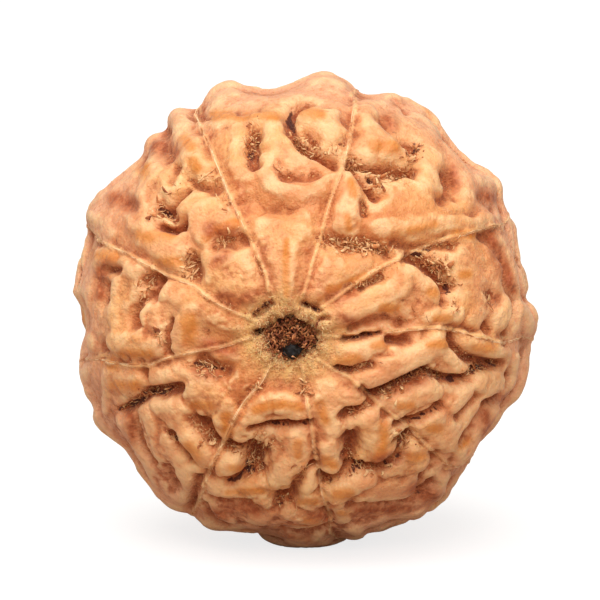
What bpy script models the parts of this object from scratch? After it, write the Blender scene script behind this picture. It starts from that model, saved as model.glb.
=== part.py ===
# Nine-faced rudraksha seed lying on its side. Metres, +Z up.
# The seed's own axis runs along Y, the end with the stringing hole towards -Y.
# The ridges, knobs, pits and seams are lines traced over the picture of the seed.
# Each line becomes a raised or sunk band on the body by a formula of its distance.

import bmesh
import bpy
import numpy as np
from math import acos, cos, pi, radians, sin
from mathutils import Vector, noise

# Driving dimensions
bodyRadius = 0.01062          # across the faces, to the level between ridges and pits
bodyHalfLength = 0.01000      # along the seed's own axis, to the same level
channelRadius = 0.00055       # the stringing hole's run inside the body
restRadius = 0.0016           # the worn flat that the seed stands on
restLevel = 0.01106           # from the seed's middle down to that flat
footFall = 0.0012             # how far the foot has fallen away at twice the flat's radius
footSteepness = 1.5
footVariation = (9.0, 0.6)    # how quickly that fall varies round the foot, and by what share

shownDip = (0.24, 0.00040)    # each end's dip: its reach in radians, its depth in metres
shownMouth = (0.112, 0.00130)   # and its mouth, in the same form
farDip = (0.26, 0.00050)
farMouth = (0.09, 0.00090)
mouthSteepness = 6.0          # the higher, the steeper the mouths' walls

# How the picture sees the seed: pixels of the 600 by 600 picture
pixelSize = 0.000047          # metres a pixel at the seed's middle
pictureCentre = (305.0, 310.0)
viewDistance = 0.150
viewAzimuth = radians(4.2)    # the camera stands a little to +X of the seed's axis
viewElevation = radians(6.9)
tracedRadius = 0.0109         # mean radius of the surface that the lines were traced on

# The flat map that distances are measured on, opened up towards the outline
mapSwitchAngle = radians(56.0)
mapOuterSlope = 0.56
frontFade = (radians(90.0), radians(99.0))
hiddenFade = (radians(76.0), radians(87.0))
outlineAngle = radians(85.9)   # from the line of sight to where the silhouette lies
outlineBand = (radians(7.0), radians(20.0))
outlineFilling = 0.6          # how much of the ridges' relief is filled on the silhouette itself
ridgeTop = 0.00040
bandReach = 2.4               # a band ends this many half widths from its line
joinSharpness = 5.0
padFoot = 1.12                # a pad ends at this many half widths, and this makes its top flat
padFlatness = 3.2
padSkirt = 0.48               # the share of its height that spreads into the skirt, and how far
skirtReach = 1.7
grooveFlare = 2.2             # the higher, the steeper a groove's sides
ridgeUnit = 0.0001            # the ridges below give their heights in these
grooveUnit = 0.00012          # and the grooves and pits their depths in these
widthRate = 14.0              # how quickly a band's width varies along it, and by what share
widthVariation = 0.30

# Mesh fineness
sphereSubdivisions = 7
frontCrowding = 0.22
smoothingSteps = 3            # rounds the steepest edges off before the triangles are thinned
triangleTarget = 11200
channelSides = 14
groundSize = 0.020

# Slow unevenness: its height in metres and how many waves fit in a metre
swellHeight = 0.00010
swellRate = 420.0
lineWander = 2.0              # pixels that the traced lines wander sideways
seamWander = 0.3              # the share of it that the seams follow
wanderRate = 9.0
wanderSeed = 1795625171       # fixes the wander's noise, whose offsets Blender otherwise draws by the clock

# The seed's silhouette, followed by eye round the picture from the left, clockwise
outlineTrace = [
    (72, 292), (76, 278), (80, 255), (85, 235), (83, 222), (83, 211), (90, 200), (110, 180), (128, 165),
    (141, 154), (146, 140), (152, 134), (166, 130), (167, 115), (174, 107), (185, 106), (197, 106), (203, 96),
    (215, 84), (231, 78), (242, 84), (268, 86), (286, 82), (300, 78), (315, 72), (326, 70), (350, 79),
    (359, 88), (369, 93), (393, 90), (403, 95), (415, 103), (432, 111), (450, 133), (470, 162), (486, 168),
    (501, 177), (505, 190), (506, 201), (517, 219), (517, 240), (521, 260), (528, 275), (529, 287), (524, 298),
    (536, 308), (540, 322), (537, 340), (529, 353), (528, 370), (522, 396), (506, 408), (500, 422), (479, 446),
    (474, 465), (453, 488), (450, 498), (425, 518), (412, 523), (394, 525), (382, 532), (368, 535), (360, 543),
    (338, 541), (327, 549), (308, 550), (290, 549), (281, 541), (262, 537), (237, 532), (207, 532), (196, 520),
    (172, 514), (158, 502), (151, 488), (138, 472), (127, 453), (110, 440), (92, 423), (91, 410), (79, 388),
    (75, 365), (79, 345), (84, 330), (84, 315), (77, 302),
]

# The nine seams, from the hole outwards, by the clock position that each runs to
seams = {
    "eleven": [(266, 290), (265, 275), (255, 250), (246, 235), (236, 208), (226, 190), (218, 170), (211, 150),
               (203, 133), (192, 108)],
    "one": [(300, 300), (307, 280), (312, 262), (319, 240), (324, 222), (330, 198), (337, 180), (345, 160),
            (350, 140), (354, 115), (357, 92)],
    "two": [(318, 310), (350, 286), (380, 267), (405, 253), (420, 247), (432, 241), (450, 235), (480, 228),
            (506, 222)],
    "three": [(325, 336), (342, 337), (357, 336), (370, 331), (383, 330), (400, 333), (416, 328), (440, 326),
              (462, 331), (484, 337), (510, 344)],
    "four": [(318, 362), (335, 372), (350, 378), (362, 388), (375, 402), (390, 412), (408, 427), (425, 443),
             (438, 456), (452, 468)],
    "six": [(302, 370), (306, 395), (309, 415), (313, 437), (315, 455), (319, 480), (324, 500), (330, 522)],
    "seven": [(268, 368), (258, 387), (243, 402), (234, 418), (228, 430), (220, 446), (211, 464), (204, 482),
              (200, 498), (192, 514)],
    "eight": [(250, 338), (232, 343), (215, 349), (195, 352), (172, 356), (155, 361), (143, 367), (122, 366),
              (100, 362)],
    "ten": [(262, 325), (245, 318), (225, 309), (205, 296), (185, 281), (166, 275), (150, 268), (133, 257),
            (115, 248), (92, 238)],
}
seamFurrow = (9.0, 0.00016)   # half width in pixels, depth in metres
seamStrand = (1.8, 0.00012)   # half width in pixels, height in metres

# Ridges and knobs: half width in pixels, height in tenths of a millimetre, then the line
ridges = {
    # Between the seams at eleven and one
    "upper left shoulder": (15, 1.5, [(226, 98), (240, 96), (264, 98)]),
    "left horn": (8, 1.9, [(214, 121), (222, 115), (235, 118), (236, 136), (234, 156)]),
    "right horn": (10, 2.6, [(257, 115), (270, 117), (274, 130), (271, 148), (263, 162)]),
    "foot of the oval": (9, 1.7, [(236, 160), (244, 172), (258, 170)]),
    "cap knob": (12, 4.8, [(307, 117), (318, 115), (331, 121), (334, 130)]),
    "crown": (12, 2.0, [(314, 80), (330, 80), (346, 88)]),
    "brow over the cap": (8, 1.3, [(280, 94), (300, 90), (322, 96), (344, 106)]),
    "pad beside the cap": (10, 1.9, [(280, 128), (284, 150), (300, 163)]),
    "smile": (8, 3.3, [(262, 171), (272, 182), (288, 189), (304, 191), (317, 187), (328, 179), (345, 173)]),
    "pad under the smile": (17, 1.6, [(268, 228), (285, 232), (296, 222)]),
    "middle ridge": (8, 2.4, [(300, 228), (290, 247), (287, 268), (286, 293)]),
    "left facet": (12, 1.6, [(262, 240), (270, 262), (274, 285)]),
    # Between the seams at one and two
    "drooping finger": (12, 3.9, [(366, 110), (372, 124), (378, 136), (390, 141)]),
    "finger's root": (10, 1.8, [(364, 98), (382, 99)]),
    "upper right brow": (8, 1.8, [(394, 96), (406, 108), (426, 114), (440, 124)]),
    "yellow pad": (10, 1.8, [(398, 117), (414, 121), (424, 132)]),
    "outer sweep": (12, 1.9, [(434, 132), (436, 150), (433, 168), (429, 190)]),
    "right shoulder": (9, 1.8, [(450, 144), (464, 165), (474, 184), (472, 202)]),
    "right shoulder knob": (9, 2.0, [(482, 174), (499, 182)]),
    "block": (12, 3.4, [(350, 184), (350, 200), (344, 222)]),
    "broad pad": (20, 2.0, [(390, 203), (418, 204), (446, 207)]),
    "shelf": (9, 3.2, [(383, 226), (405, 226), (425, 221), (450, 222), (472, 224), (492, 220)]),
    "shelf's tip": (9, 2.2, [(456, 233), (473, 231)]),
    "pad by the second seam": (12, 2.2, [(318, 278), (330, 267), (350, 268), (370, 270)]),
    "inner ridge": (8, 2.0, [(300, 300), (316, 291), (334, 284)]),
    # Between the seams at two and three
    "flange": (13, 4.0, [(326, 320), (345, 311), (370, 302), (392, 292), (403, 280)]),
    "flange's fin": (5, 1.9, [(384, 300), (397, 284), (406, 268), (414, 258)]),
    "wedge": (11, 2.7, [(414, 272), (427, 283), (436, 292)]),
    "amber knob": (9, 3.5, [(432, 318), (445, 314), (458, 317)]),
    "right pad": (19, 2.3, [(463, 258), (474, 275), (478, 300)]),
    "right pad's foot": (9, 2.8, [(482, 311), (474, 321)]),
    "limb rib": (9, 1.9, [(496, 248), (502, 268), (503, 288)]),
    "east pad": (12, 2.9, [(505, 304), (508, 320), (501, 336)]),
    "east knob": (11, 3.0, [(531, 310), (534, 327)]),
    # Between the seams at three and four
    "first step": (8, 3.3, [(345, 353), (362, 349), (382, 344)]),
    "first toe": (7, 2.9, [(337, 362), (352, 362), (366, 357)]),
    "long ridge": (12, 4.8, [(362, 383), (385, 372), (410, 360), (428, 348), (438, 341)]),
    "step knob": (8, 3.1, [(399, 350), (414, 343)]),
    "crescent": (8, 3.7, [(452, 357), (461, 366)]),
    "middle bar": (12, 4.4, [(397, 403), (411, 401), (430, 390)]),
    "big knob": (19, 4.6, [(432, 424), (443, 430), (445, 438)]),
    "finger": (10, 5.0, [(467, 340), (485, 346), (503, 354)]),
    "far pad": (12, 3.0, [(484, 384), (500, 384)]),
    "far ridge": (8, 3.3, [(471, 393), (455, 406)]),
    "outer far ridge": (7, 2.9, [(498, 393), (480, 412), (465, 431)]),
    "rim ridge": (7, 2.3, [(521, 360), (518, 386)]),
    "low rim": (8, 2.3, [(500, 414), (486, 434), (472, 455)]),
    # Between the seams at four and six
    "heart's left lobe": (13, 4.8, [(369, 413), (374, 428), (380, 448)]),
    "heart's right lobe": (12, 4.8, [(392, 426), (400, 432), (389, 444), (380, 454)]),
    "flank": (9, 2.9, [(340, 397), (352, 397), (366, 399)]),
    "spine": (12, 2.6, [(331, 390), (332, 410), (330, 432)]),
    "drop": (10, 4.4, [(329, 450), (331, 469)]),
    "chip": (5, 2.4, [(353, 420), (353, 438)]),
    "small amber knob": (10, 3.9, [(412, 449), (423, 462)]),
    "bar": (10, 4.8, [(334, 496), (350, 488), (370, 478)]),
    "bar's tail": (8, 2.6, [(386, 474), (410, 469), (430, 462)]),
    "smooth pad": (14, 2.9, [(368, 497), (390, 493), (410, 490)]),
    "low knob": (8, 2.4, [(341, 512), (343, 524)]),
    "rim knob": (9, 2.6, [(462, 446), (462, 464)]),
    "rim knob's foot": (9, 2.4, [(448, 479), (440, 492)]),
    "foot pad": (9, 2.2, [(356, 532), (385, 523), (415, 513)]),
    # Between the seams at six and seven
    "arch": (12, 4.8, [(241, 433), (250, 416), (266, 403), (288, 403), (304, 412)]),
    "dome": (14, 4.2, [(299, 444), (297, 461), (288, 474)]),
    "small dome": (9, 4.0, [(308, 483), (308, 487)]),
    "lower dome": (10, 3.3, [(305, 502), (319, 503)]),
    "lip": (9, 2.9, [(290, 518), (308, 524), (324, 521)]),
    "knob in the pit": (11, 4.6, [(222, 468), (234, 466)]),
    "lower shelf": (9, 3.2, [(207, 487), (222, 492), (245, 492), (268, 488), (280, 480)]),
    "thin edge": (4, 2.2, [(203, 503), (216, 515), (232, 524)]),
    "bottom pad": (12, 2.4, [(262, 507), (257, 524)]),
    "left foot": (8, 2.3, [(202, 520), (225, 529), (250, 531)]),
    # Between the seams at seven and eight
    "side pebble": (9, 3.9, [(226, 411), (219, 432)]),
    "pale pad": (13, 2.9, [(156, 405), (170, 412), (182, 424)]),
    "bright finger": (9, 4.2, [(185, 438), (196, 450), (206, 463)]),
    "outer finger": (7, 3.0, [(162, 441), (168, 456), (181, 468), (195, 472)]),
    "outer strip": (7, 2.6, [(141, 412), (149, 428), (154, 447), (160, 462)]),
    "tail": (9, 3.0, [(181, 474), (188, 488)]),
    "round knob": (16, 2.6, [(122, 379), (131, 382)]),
    "rim strip": (6, 2.0, [(104, 374), (102, 392), (103, 410)]),
    "upper pad": (12, 2.1, [(150, 376), (170, 378), (185, 390)]),
    "inner pad": (12, 2.0, [(190, 386), (205, 395), (216, 402)]),
    "low left rib": (8, 2.3, [(120, 422), (132, 446), (146, 471), (157, 492)]),
    # Between the seams at eight and ten
    "facet ridge": (9, 2.8, [(190, 309), (180, 325), (172, 345)]),
    "seam pad": (13, 2.0, [(165, 291), (190, 297), (214, 311)]),
    "amber shelf": (11, 3.3, [(112, 343), (130, 345), (150, 346)]),
    "upright rib": (6, 2.7, [(140, 305), (137, 322), (136, 336)]),
    "middle pad": (8, 1.8, [(150, 308), (151, 326)]),
    "west knob": (12, 3.0, [(122, 264), (132, 268)]),
    "edge rib": (5, 2.0, [(118, 266), (113, 285), (110, 310), (113, 333), (121, 357)]),
    "far west knob": (12, 2.5, [(100, 250), (100, 256)]),
    "west rim": (9, 1.9, [(80, 284), (82, 300)]),
    "lower west rim": (10, 1.9, [(85, 346), (83, 368), (87, 390)]),
    "orange curve": (7, 1.9, [(112, 353), (108, 368)]),
    # Between the seams at ten and eleven
    "big pad": (21, 2.6, [(214, 262), (232, 268)]),
    "pad's foot": (12, 1.9, [(226, 284), (246, 291)]),
    "ledge": (11, 3.2, [(201, 235), (216, 227), (238, 223)]),
    "upper ledge": (12, 2.3, [(188, 214), (205, 207), (227, 213)]),
    "pad by the tenth seam": (14, 3.0, [(148, 240), (162, 247), (172, 254)]),
    "sweeping ridge": (8, 2.5, [(129, 222), (134, 202), (140, 182), (152, 167)]),
    "sweep's pad": (9, 2.4, [(139, 224), (149, 234)]),
    "west brow": (8, 2.0, [(96, 204), (110, 190), (128, 170)]),
    "west pad": (11, 2.0, [(92, 220), (100, 234)]),
    "upper knob": (13, 2.6, [(188, 137), (190, 154)]),
    "top left pad": (11, 2.0, [(176, 114), (179, 130)]),
    "small shoulder": (11, 1.7, [(206, 112), (200, 126)]),
    "north west brow": (9, 1.8, [(150, 142), (144, 156)]),
    "middle bump": (9, 1.7, [(160, 173), (169, 180)]),
}

# Cracks and grooves: half width in pixels, depth in tenths of a millimetre, then the line
grooves = {
    "cap's groove": (7, 7.0, [(307, 98), (294, 103), (287, 115), (291, 128), (303, 141), (320, 151),
                              (334, 156)]),
    "under the cap": (5, 3.5, [(297, 121), (308, 131), (316, 138)]),
    "dip under the brow": (8, 1.9, [(239, 105), (256, 104)]),
    "under the smile": (10, 2.4, [(243, 197), (262, 203), (287, 205)]),
    "in the smile": (6, 3.0, [(282, 173), (300, 171), (316, 170)]),
    "shoulder dip": (7, 2.2, [(190, 112), (206, 111)]),
    "under the finger": (7, 8.0, [(352, 158), (370, 160), (390, 159), (402, 163), (416, 166)]),
    "beside the finger": (6, 3.7, [(384, 118), (389, 128), (401, 136), (413, 140), (419, 152)]),
    "cavity's tail": (6, 6.0, [(358, 168), (368, 182), (376, 191)]),
    "cavity's floor": (6, 5.0, [(374, 172), (396, 170)]),
    "north east cleft": (5, 3.1, [(396, 98), (409, 108)]),
    "side pit": (8, 4.2, [(450, 170), (456, 180), (452, 192), (446, 197)]),
    "limb dip": (8, 2.7, [(488, 193), (500, 205)]),
    "short fissure": (4, 3.0, [(363, 200), (365, 211)]),
    "under the shelf": (6, 3.4, [(398, 239), (425, 243), (456, 244)]),
    "east limb groove": (7, 3.6, [(491, 232), (498, 244), (510, 262), (512, 285), (519, 297)]),
    "fibre pit": (9, 7.5, [(419, 254), (432, 261), (444, 273), (450, 285)]),
    "fibre pit's tail": (4, 6.0, [(446, 289), (447, 300)]),
    "east dimple": (7, 2.5, [(495, 294), (498, 300)]),
    "pin hole": (4, 3.8, [(490, 326), (491, 331)]),
    "under the flange": (6, 3.2, [(352, 327), (372, 320), (392, 316), (402, 322)]),
    "east groove": (6, 3.4, [(521, 300), (518, 318), (511, 333)]),
    "crack by the third seam": (3.5, 4.8, [(345, 338), (357, 339), (369, 335), (383, 332)]),
    "hollow under the lip": (6, 6.0, [(392, 341), (402, 343), (411, 340)]),
    "toe crack": (4, 4.6, [(339, 369), (352, 373), (372, 365)]),
    "long crack": (6, 7.5, [(373, 397), (388, 390), (402, 383), (414, 376), (428, 371)]),
    "long crack's end": (5, 5.5, [(428, 371), (441, 377), (456, 381), (471, 377), (488, 368), (504, 362)]),
    "round hole": (5, 8.0, [(446, 380), (448, 380)]),
    "behind the finger": (6, 5.5, [(455, 340), (460, 350), (471, 358), (486, 361), (500, 362)]),
    "bar crack": (4, 5.2, [(396, 425), (410, 424), (425, 415), (441, 406)]),
    "slit": (4, 3.2, [(478, 396), (468, 408), (459, 419)]),
    "rim crack": (6, 5.1, [(513, 378), (510, 395), (498, 402), (484, 415), (472, 432), (463, 442)]),
    "heart crack": (5, 5.6, [(345, 418), (360, 411), (374, 403)]),
    "notch": (3.5, 5.0, [(362, 388), (374, 399)]),
    "beside the heart": (8, 7.0, [(352, 440), (355, 452), (348, 463)]),
    "under the heart": (5, 7.0, [(322, 481), (340, 478), (358, 468), (372, 470), (390, 464), (401, 452),
                                 (408, 440)]),
    "kidney": (6, 6.0, [(398, 440), (411, 436)]),
    "low groove": (6, 4.2, [(352, 512), (380, 509), (405, 508), (425, 498), (436, 487)]),
    "elbow groove": (5, 3.9, [(440, 455), (432, 470), (424, 485), (418, 498)]),
    "low notch": (4, 3.6, [(323, 515), (330, 521)]),
    "under the arch": (4, 6.5, [(250, 428), (270, 427), (290, 427), (308, 424)]),
    "dark pit": (13, 9.5, [(250, 455), (251, 470)]),
    "dark pit's west": (6, 6.5, [(225, 449), (240, 452)]),
    "dark pit's tail": (6, 6.5, [(228, 484), (246, 478)]),
    "low pit": (8, 6.0, [(280, 505), (292, 500)]),
    "under the domes": (5, 4.0, [(292, 491), (305, 472), (314, 470)]),
    "bottom groove": (6, 4.2, [(283, 536), (305, 538), (325, 534)]),
    "under the lower shelf": (8, 4.2, [(220, 506), (240, 508), (255, 513)]),
    "heel": (6, 3.1, [(203, 509), (212, 520), (225, 526)]),
    "pebble pit": (8, 6.5, [(192, 422), (203, 430), (210, 442)]),
    "west slit": (4, 4.2, [(169, 436), (176, 443), (182, 452), (188, 460)]),
    "west crevice": (7, 7.0, [(174, 391), (158, 394), (142, 394)]),
    "west crevice's tail": (6, 5.1, [(142, 396), (130, 407), (118, 411)]),
    "strip groove": (4, 3.1, [(130, 415), (133, 435), (142, 455), (150, 466)]),
    "tail hollow": (8, 3.2, [(163, 472), (171, 490)]),
    "tail groove": (5, 3.4, [(195, 481), (190, 497), (189, 509)]),
    "thread pit": (3, 3.2, [(140, 372), (143, 386)]),
    "pit by the eighth seam": (8, 4.4, [(195, 363), (210, 368), (221, 375)]),
    "west pit": (9, 6.5, [(142, 279), (154, 278), (146, 291)]),
    "west pit's tail": (6, 4.5, [(138, 299), (130, 312), (132, 324)]),
    "flake crack": (3, 3.6, [(168, 320), (163, 335), (165, 353)]),
    "soft dip": (8, 2.7, [(99, 285), (101, 296)]),
    "lower soft dip": (8, 2.5, [(96, 346), (99, 350)]),
    "under the far west knob": (6, 3.6, [(101, 269), (113, 269)]),
    "fall of the facet": (9, 2.4, [(205, 334), (224, 341)]),
    "pit by the big pad": (9, 5.0, [(189, 260), (192, 271)]),
    "twin pit": (7, 6.0, [(166, 212), (160, 206)]),
    "twin cleft": (5, 7.0, [(155, 208), (165, 203), (175, 194), (182, 186)]),
    "twin's lower pit": (6, 7.0, [(156, 222), (168, 224), (178, 220)]),
    "under the ledge": (8, 4.2, [(217, 240), (229, 243), (239, 235)]),
    "upper pit": (8, 4.0, [(189, 178), (206, 182)]),
    "upper dip": (9, 3.1, [(160, 144), (163, 152)]),
    "dust pit": (8, 2.9, [(121, 200), (129, 205)]),
    "west hollow": (7, 2.5, [(105, 184), (116, 174)]),
    "red spot": (5, 2.5, [(173, 165), (166, 177)]),
    "west cleft by the hole": (4, 5.0, [(251, 314), (259, 307), (268, 302)]),
    "east cleft by the hole": (3.5, 4.4, [(305, 303), (312, 306), (319, 311)]),
    "purple spot": (3.5, 3.0, [(321, 320), (328, 318)]),
    "oval pit": (8, 7.0, [(252, 130), (249, 142), (251, 155)]),
    "wide fibre hollow": (10, 3.6, [(334, 237), (350, 244), (370, 240), (388, 247)]),
    "fissures of the wedge": (4, 2.6, [(362, 287), (384, 275)]),
}

# The hidden faces: where their rows of pads lie, from the shown end, and their random seed
rowStep = radians(11.5)
rowAngles = [radians(74.0) + rowStep * row for row in range(8)]
seamEnd = radians(171.0)
hiddenSeed = 27


# The picture's line of sight, to its right and upwards
viewBack = np.array([sin(viewAzimuth) * cos(viewElevation), -cos(viewAzimuth) * cos(viewElevation),
                     sin(viewElevation)])
viewRight = np.array([cos(viewAzimuth), sin(viewAzimuth), 0.0])
viewUp = np.cross(viewBack, viewRight)

# The body is a sphere of radius one stretched by these, and all lines are laid on that sphere
stretch = np.array([bodyRadius, bodyHalfLength, bodyRadius])
tracedStretch = stretch * tracedRadius / bodyRadius
eyeOnSphere = viewBack * viewDistance / tracedStretch
sightAxis = eyeOnSphere / np.linalg.norm(eyeOnSphere)
sightRight = viewRight - sightAxis * (viewRight @ sightAxis)
sightRight /= np.linalg.norm(sightRight)
sightUp = np.cross(sightAxis, sightRight)
mapRadius = tracedRadius / pixelSize


def pictureToSphere(pixels):
    # Where the line of sight through each pixel first meets the sphere
    across = (np.array(pixels, dtype=float) - pictureCentre) * pixelSize
    targets = across[:, :1] * viewRight - across[:, 1:] * viewUp
    eye = eyeOnSphere
    ray = targets / tracedStretch - eye
    ray /= np.linalg.norm(ray, axis=1)[:, None]
    along = -(ray @ eye)
    miss = np.maximum(1.0 - (eye @ eye - along ** 2), 0.0)
    hit = eye + ray * (along - np.sqrt(miss))[:, None]
    return hit / np.linalg.norm(hit, axis=1)[:, None]


def flatMap(directions):
    # An azimuthal map about the line of sight, in pixels, wider than the picture near the outline
    angle = np.arccos(np.clip(directions @ sightAxis, -1.0, 1.0))
    right = directions @ sightRight
    up = directions @ sightUp
    outer = sin(mapSwitchAngle) + mapOuterSlope * (angle - mapSwitchAngle)
    radius = np.where(angle < mapSwitchAngle, np.sin(angle), outer)
    scale = mapRadius * radius / np.maximum(np.hypot(right, up), 1e-9)
    return np.stack([right * scale, up * scale], axis=1)


def distanceToLine(points, line):
    # The shortest distance from each point to a line of straight pieces, in the points' own units
    nearest = np.full(len(points), np.inf)
    for start, end in zip(line[:-1], line[1:]):
        piece = end - start
        share = np.clip((points - start) @ piece / max(piece @ piece, 1e-12), 0.0, 1.0)
        offset = points - start - share[:, None] * piece
        nearest = np.minimum(nearest, np.sqrt(np.einsum("ij,ij->i", offset, offset)))
    return nearest


def roundedLine(line):
    # Corners cut twice, so that a traced line bends like a grown one
    for _ in range(2):
        if len(line) < 3:
            return line
        quarter = line[:-1] * 0.75 + line[1:] * 0.25
        threeQuarters = line[:-1] * 0.25 + line[1:] * 0.75
        middle = np.stack([quarter, threeQuarters], axis=1).reshape(-1, line.shape[1])
        line = np.concatenate([line[:1], middle, line[-1:]])
    return line


def padProfile(reach):
    # A rounded pad: nearly flat on top and steep at its edge, with a soft skirt round it
    pad = 1.0 - np.clip(reach / padFoot, 0.0, 1.0) ** padFlatness
    return pad * (1.0 - padSkirt) + padSkirt * np.exp(-(reach / skirtReach) ** 2)


def grooveProfile(reach):
    # A groove with a narrow round floor and sides that open upwards
    return np.exp(-reach ** grooveFlare)


def bandsAlong(points, bands, profile, narrowing):
    # The height of all bands together: where they overlap they flow into each other
    total = np.zeros(len(points))
    for halfWidth, height, line in bands:
        margin = halfWidth * bandReach
        near = np.all((points > line.min(axis=0) - margin) & (points < line.max(axis=0) + margin), axis=1)
        reach = distanceToLine(points[near], line) / halfWidth * narrowing[near]
        total[near] += (profile(reach) * height) ** joinSharpness
    return total ** (1.0 / joinSharpness)


def pictureBands(lines, unit):
    # The traced lines on the flat map, widened as much as the map is there
    bands = []
    for halfWidth, height, trace in lines.values():
        line = flatMap(pictureToSphere(trace))
        offset = np.linalg.norm(np.subtract(trace[0], pictureCentre))
        widening = max(np.linalg.norm(line[0]) / max(offset, 1.0), 1.0)
        bands.append((halfWidth * widening, height * unit, roundedLine(line)))
    return bands


def aroundAxis(polar, turn):
    # A direction by its angle from the shown end and its turn about the seed's axis
    return np.stack([np.sin(polar) * np.cos(turn), -np.cos(polar), np.sin(polar) * np.sin(turn)], axis=-1)


def seamTurns():
    # The turn about the seed's axis at which each seam leaves the picture
    turns = {}
    for name, trace in seams.items():
        last = pictureToSphere(trace[-1:])[0]
        turns[name] = np.arctan2(last[2], last[0])
    return turns


def hiddenSeam(turn, polarStart):
    polar = np.linspace(polarStart, seamEnd, 9)
    return aroundAxis(polar, turn + 0.03 * np.sin(7.0 * polar + 3.0 * turn))


def hiddenPad(draw, polar, turn, lean, length):
    # A short thick line on the sphere, leaning from the face's cross direction
    reach = length / mapRadius / 2.0
    along = reach * cos(lean)
    down = reach * sin(lean)
    ends = [(polar - down, turn - along / sin(polar)), (polar + down, turn + along / sin(polar))]
    middle = (polar + draw.uniform(-0.02, 0.02), turn + draw.uniform(-0.02, 0.02))
    return [ends[0], middle, ends[1]]


def hiddenLines():
    # Rows of pads on each hidden face, some run together, with cracks and pits between the rows
    draw = np.random.default_rng(hiddenSeed)
    turns = sorted(seamTurns().values())
    knobs = []
    cracks = []
    for first, second in zip(turns, turns[1:] + [turns[0] + 2.0 * pi]):
        width = second - first
        last = None
        for polar in rowAngles:
            shift = draw.uniform(-0.04, 0.04)
            shares = (0.27, 0.73) if width * sin(polar) * mapRadius > 70.0 else (0.5,)
            for share in shares:
                place = (polar + shift + draw.uniform(-0.05, 0.05),
                         first + width * (share + draw.uniform(-0.06, 0.06)))
                lean = draw.uniform(-0.9, 0.9)
                knobs.append((draw.uniform(10.0, 15.0), draw.uniform(3.0, 4.8),
                              hiddenPad(draw, *place, lean, draw.uniform(10.0, 30.0))))
                if last is not None and draw.random() < 0.5:
                    knobs.append((draw.uniform(7.0, 10.0), draw.uniform(2.8, 4.0), [last, place]))
                last = place
            below = polar + shift + rowStep / 2.0
            bend = draw.uniform(-0.05, 0.05)
            start, end = sorted(draw.uniform(0.1, 0.9, 2))
            if end - start < 0.3:
                start, end = start * 0.5, end * 0.5 + 0.5
            cracks.append((draw.uniform(4.0, 7.0), draw.uniform(4.5, 8.0),
                           [(below - bend, first + width * start),
                            (below + bend, first + width * (start + end) / 2.0),
                            (below - bend, first + width * end)]))
            if draw.random() < 0.55:
                spot = (below, first + width * draw.uniform(0.25, 0.75))
                cracks.append((draw.uniform(7.0, 10.0), draw.uniform(5.0, 8.5),
                               hiddenPad(draw, *spot, draw.uniform(-1.5, 1.5), 12.0)))
        share = draw.uniform(0.42, 0.58)
        knobs.append((draw.uniform(8.0, 10.0), draw.uniform(3.0, 4.2),
                      [(radians(150.0), first + width * share), (radians(165.0), first + width * 0.5)]))
    return knobs, cracks


def sphereBands(lines, unit):
    # The hidden side's lines, in the same form on the sphere
    bands = []
    for halfWidth, height, places in lines:
        line = np.array([aroundAxis(polar, turn) for polar, turn in places])
        bands.append((halfWidth / mapRadius, height * unit, roundedLine(line)))
    return bands


def seamReach(points, directions):
    # Distance in pixels to the nearest seam, on the shown side and round the hidden one
    nearest = np.full(len(points), np.inf)
    turns = seamTurns()
    for name, trace in seams.items():
        spots = flatMap(pictureToSphere(trace))
        nearest = np.minimum(nearest, distanceToLine(points, roundedLine(spots)))
        last = pictureToSphere(trace[-1:])[0]
        start = acos(-last[1])
        hidden = distanceToLine(directions, hiddenSeam(turns[name], start)) * mapRadius
        nearest = np.minimum(nearest, hidden)
    return nearest


def smoothStep(low, high, value):
    share = np.clip((value - low) / (high - low), 0.0, 1.0)
    return share * share * (3.0 - 2.0 * share)


def fitOutline(directions, height):
    # Round the line of sight the ridges' tops reach the traced silhouette, and what lies lower stays lower
    trace = (np.array(outlineTrace + outlineTrace[:1], dtype=float) - pictureCentre) * (1.0, -1.0)
    trace = roundedLine(trace)[1:]
    angles = np.arctan2(trace[:, 1], trace[:, 0])
    order = np.argsort(angles)
    radii = np.hypot(trace[:, 0], trace[:, 1]) * pixelSize
    around = np.arctan2(directions @ sightUp, directions @ sightRight)
    radius = np.interp(around, angles[order], radii[order], period=2.0 * pi)
    beyond = np.abs(np.arccos(np.clip(directions @ sightAxis, -1.0, 1.0)) - outlineAngle)
    nearness = 1.0 - smoothStep(*outlineBand, beyond)
    top = ridgeTop + (radius - bodyRadius - ridgeTop) * nearness
    kept = 1.0 - outlineFilling * (1.0 - smoothStep(0.0, outlineBand[0], beyond))
    return top - (ridgeTop - height) * kept


def wander(directions, rate, amount):
    noise.seed_set(wanderSeed)
    return np.array([noise.noise_vector(Vector(place) * rate) for place in directions]) * amount


def unevenness(directions, rate, height):
    return np.array([noise.noise(Vector(place) * rate) for place in directions]) * height


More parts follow.
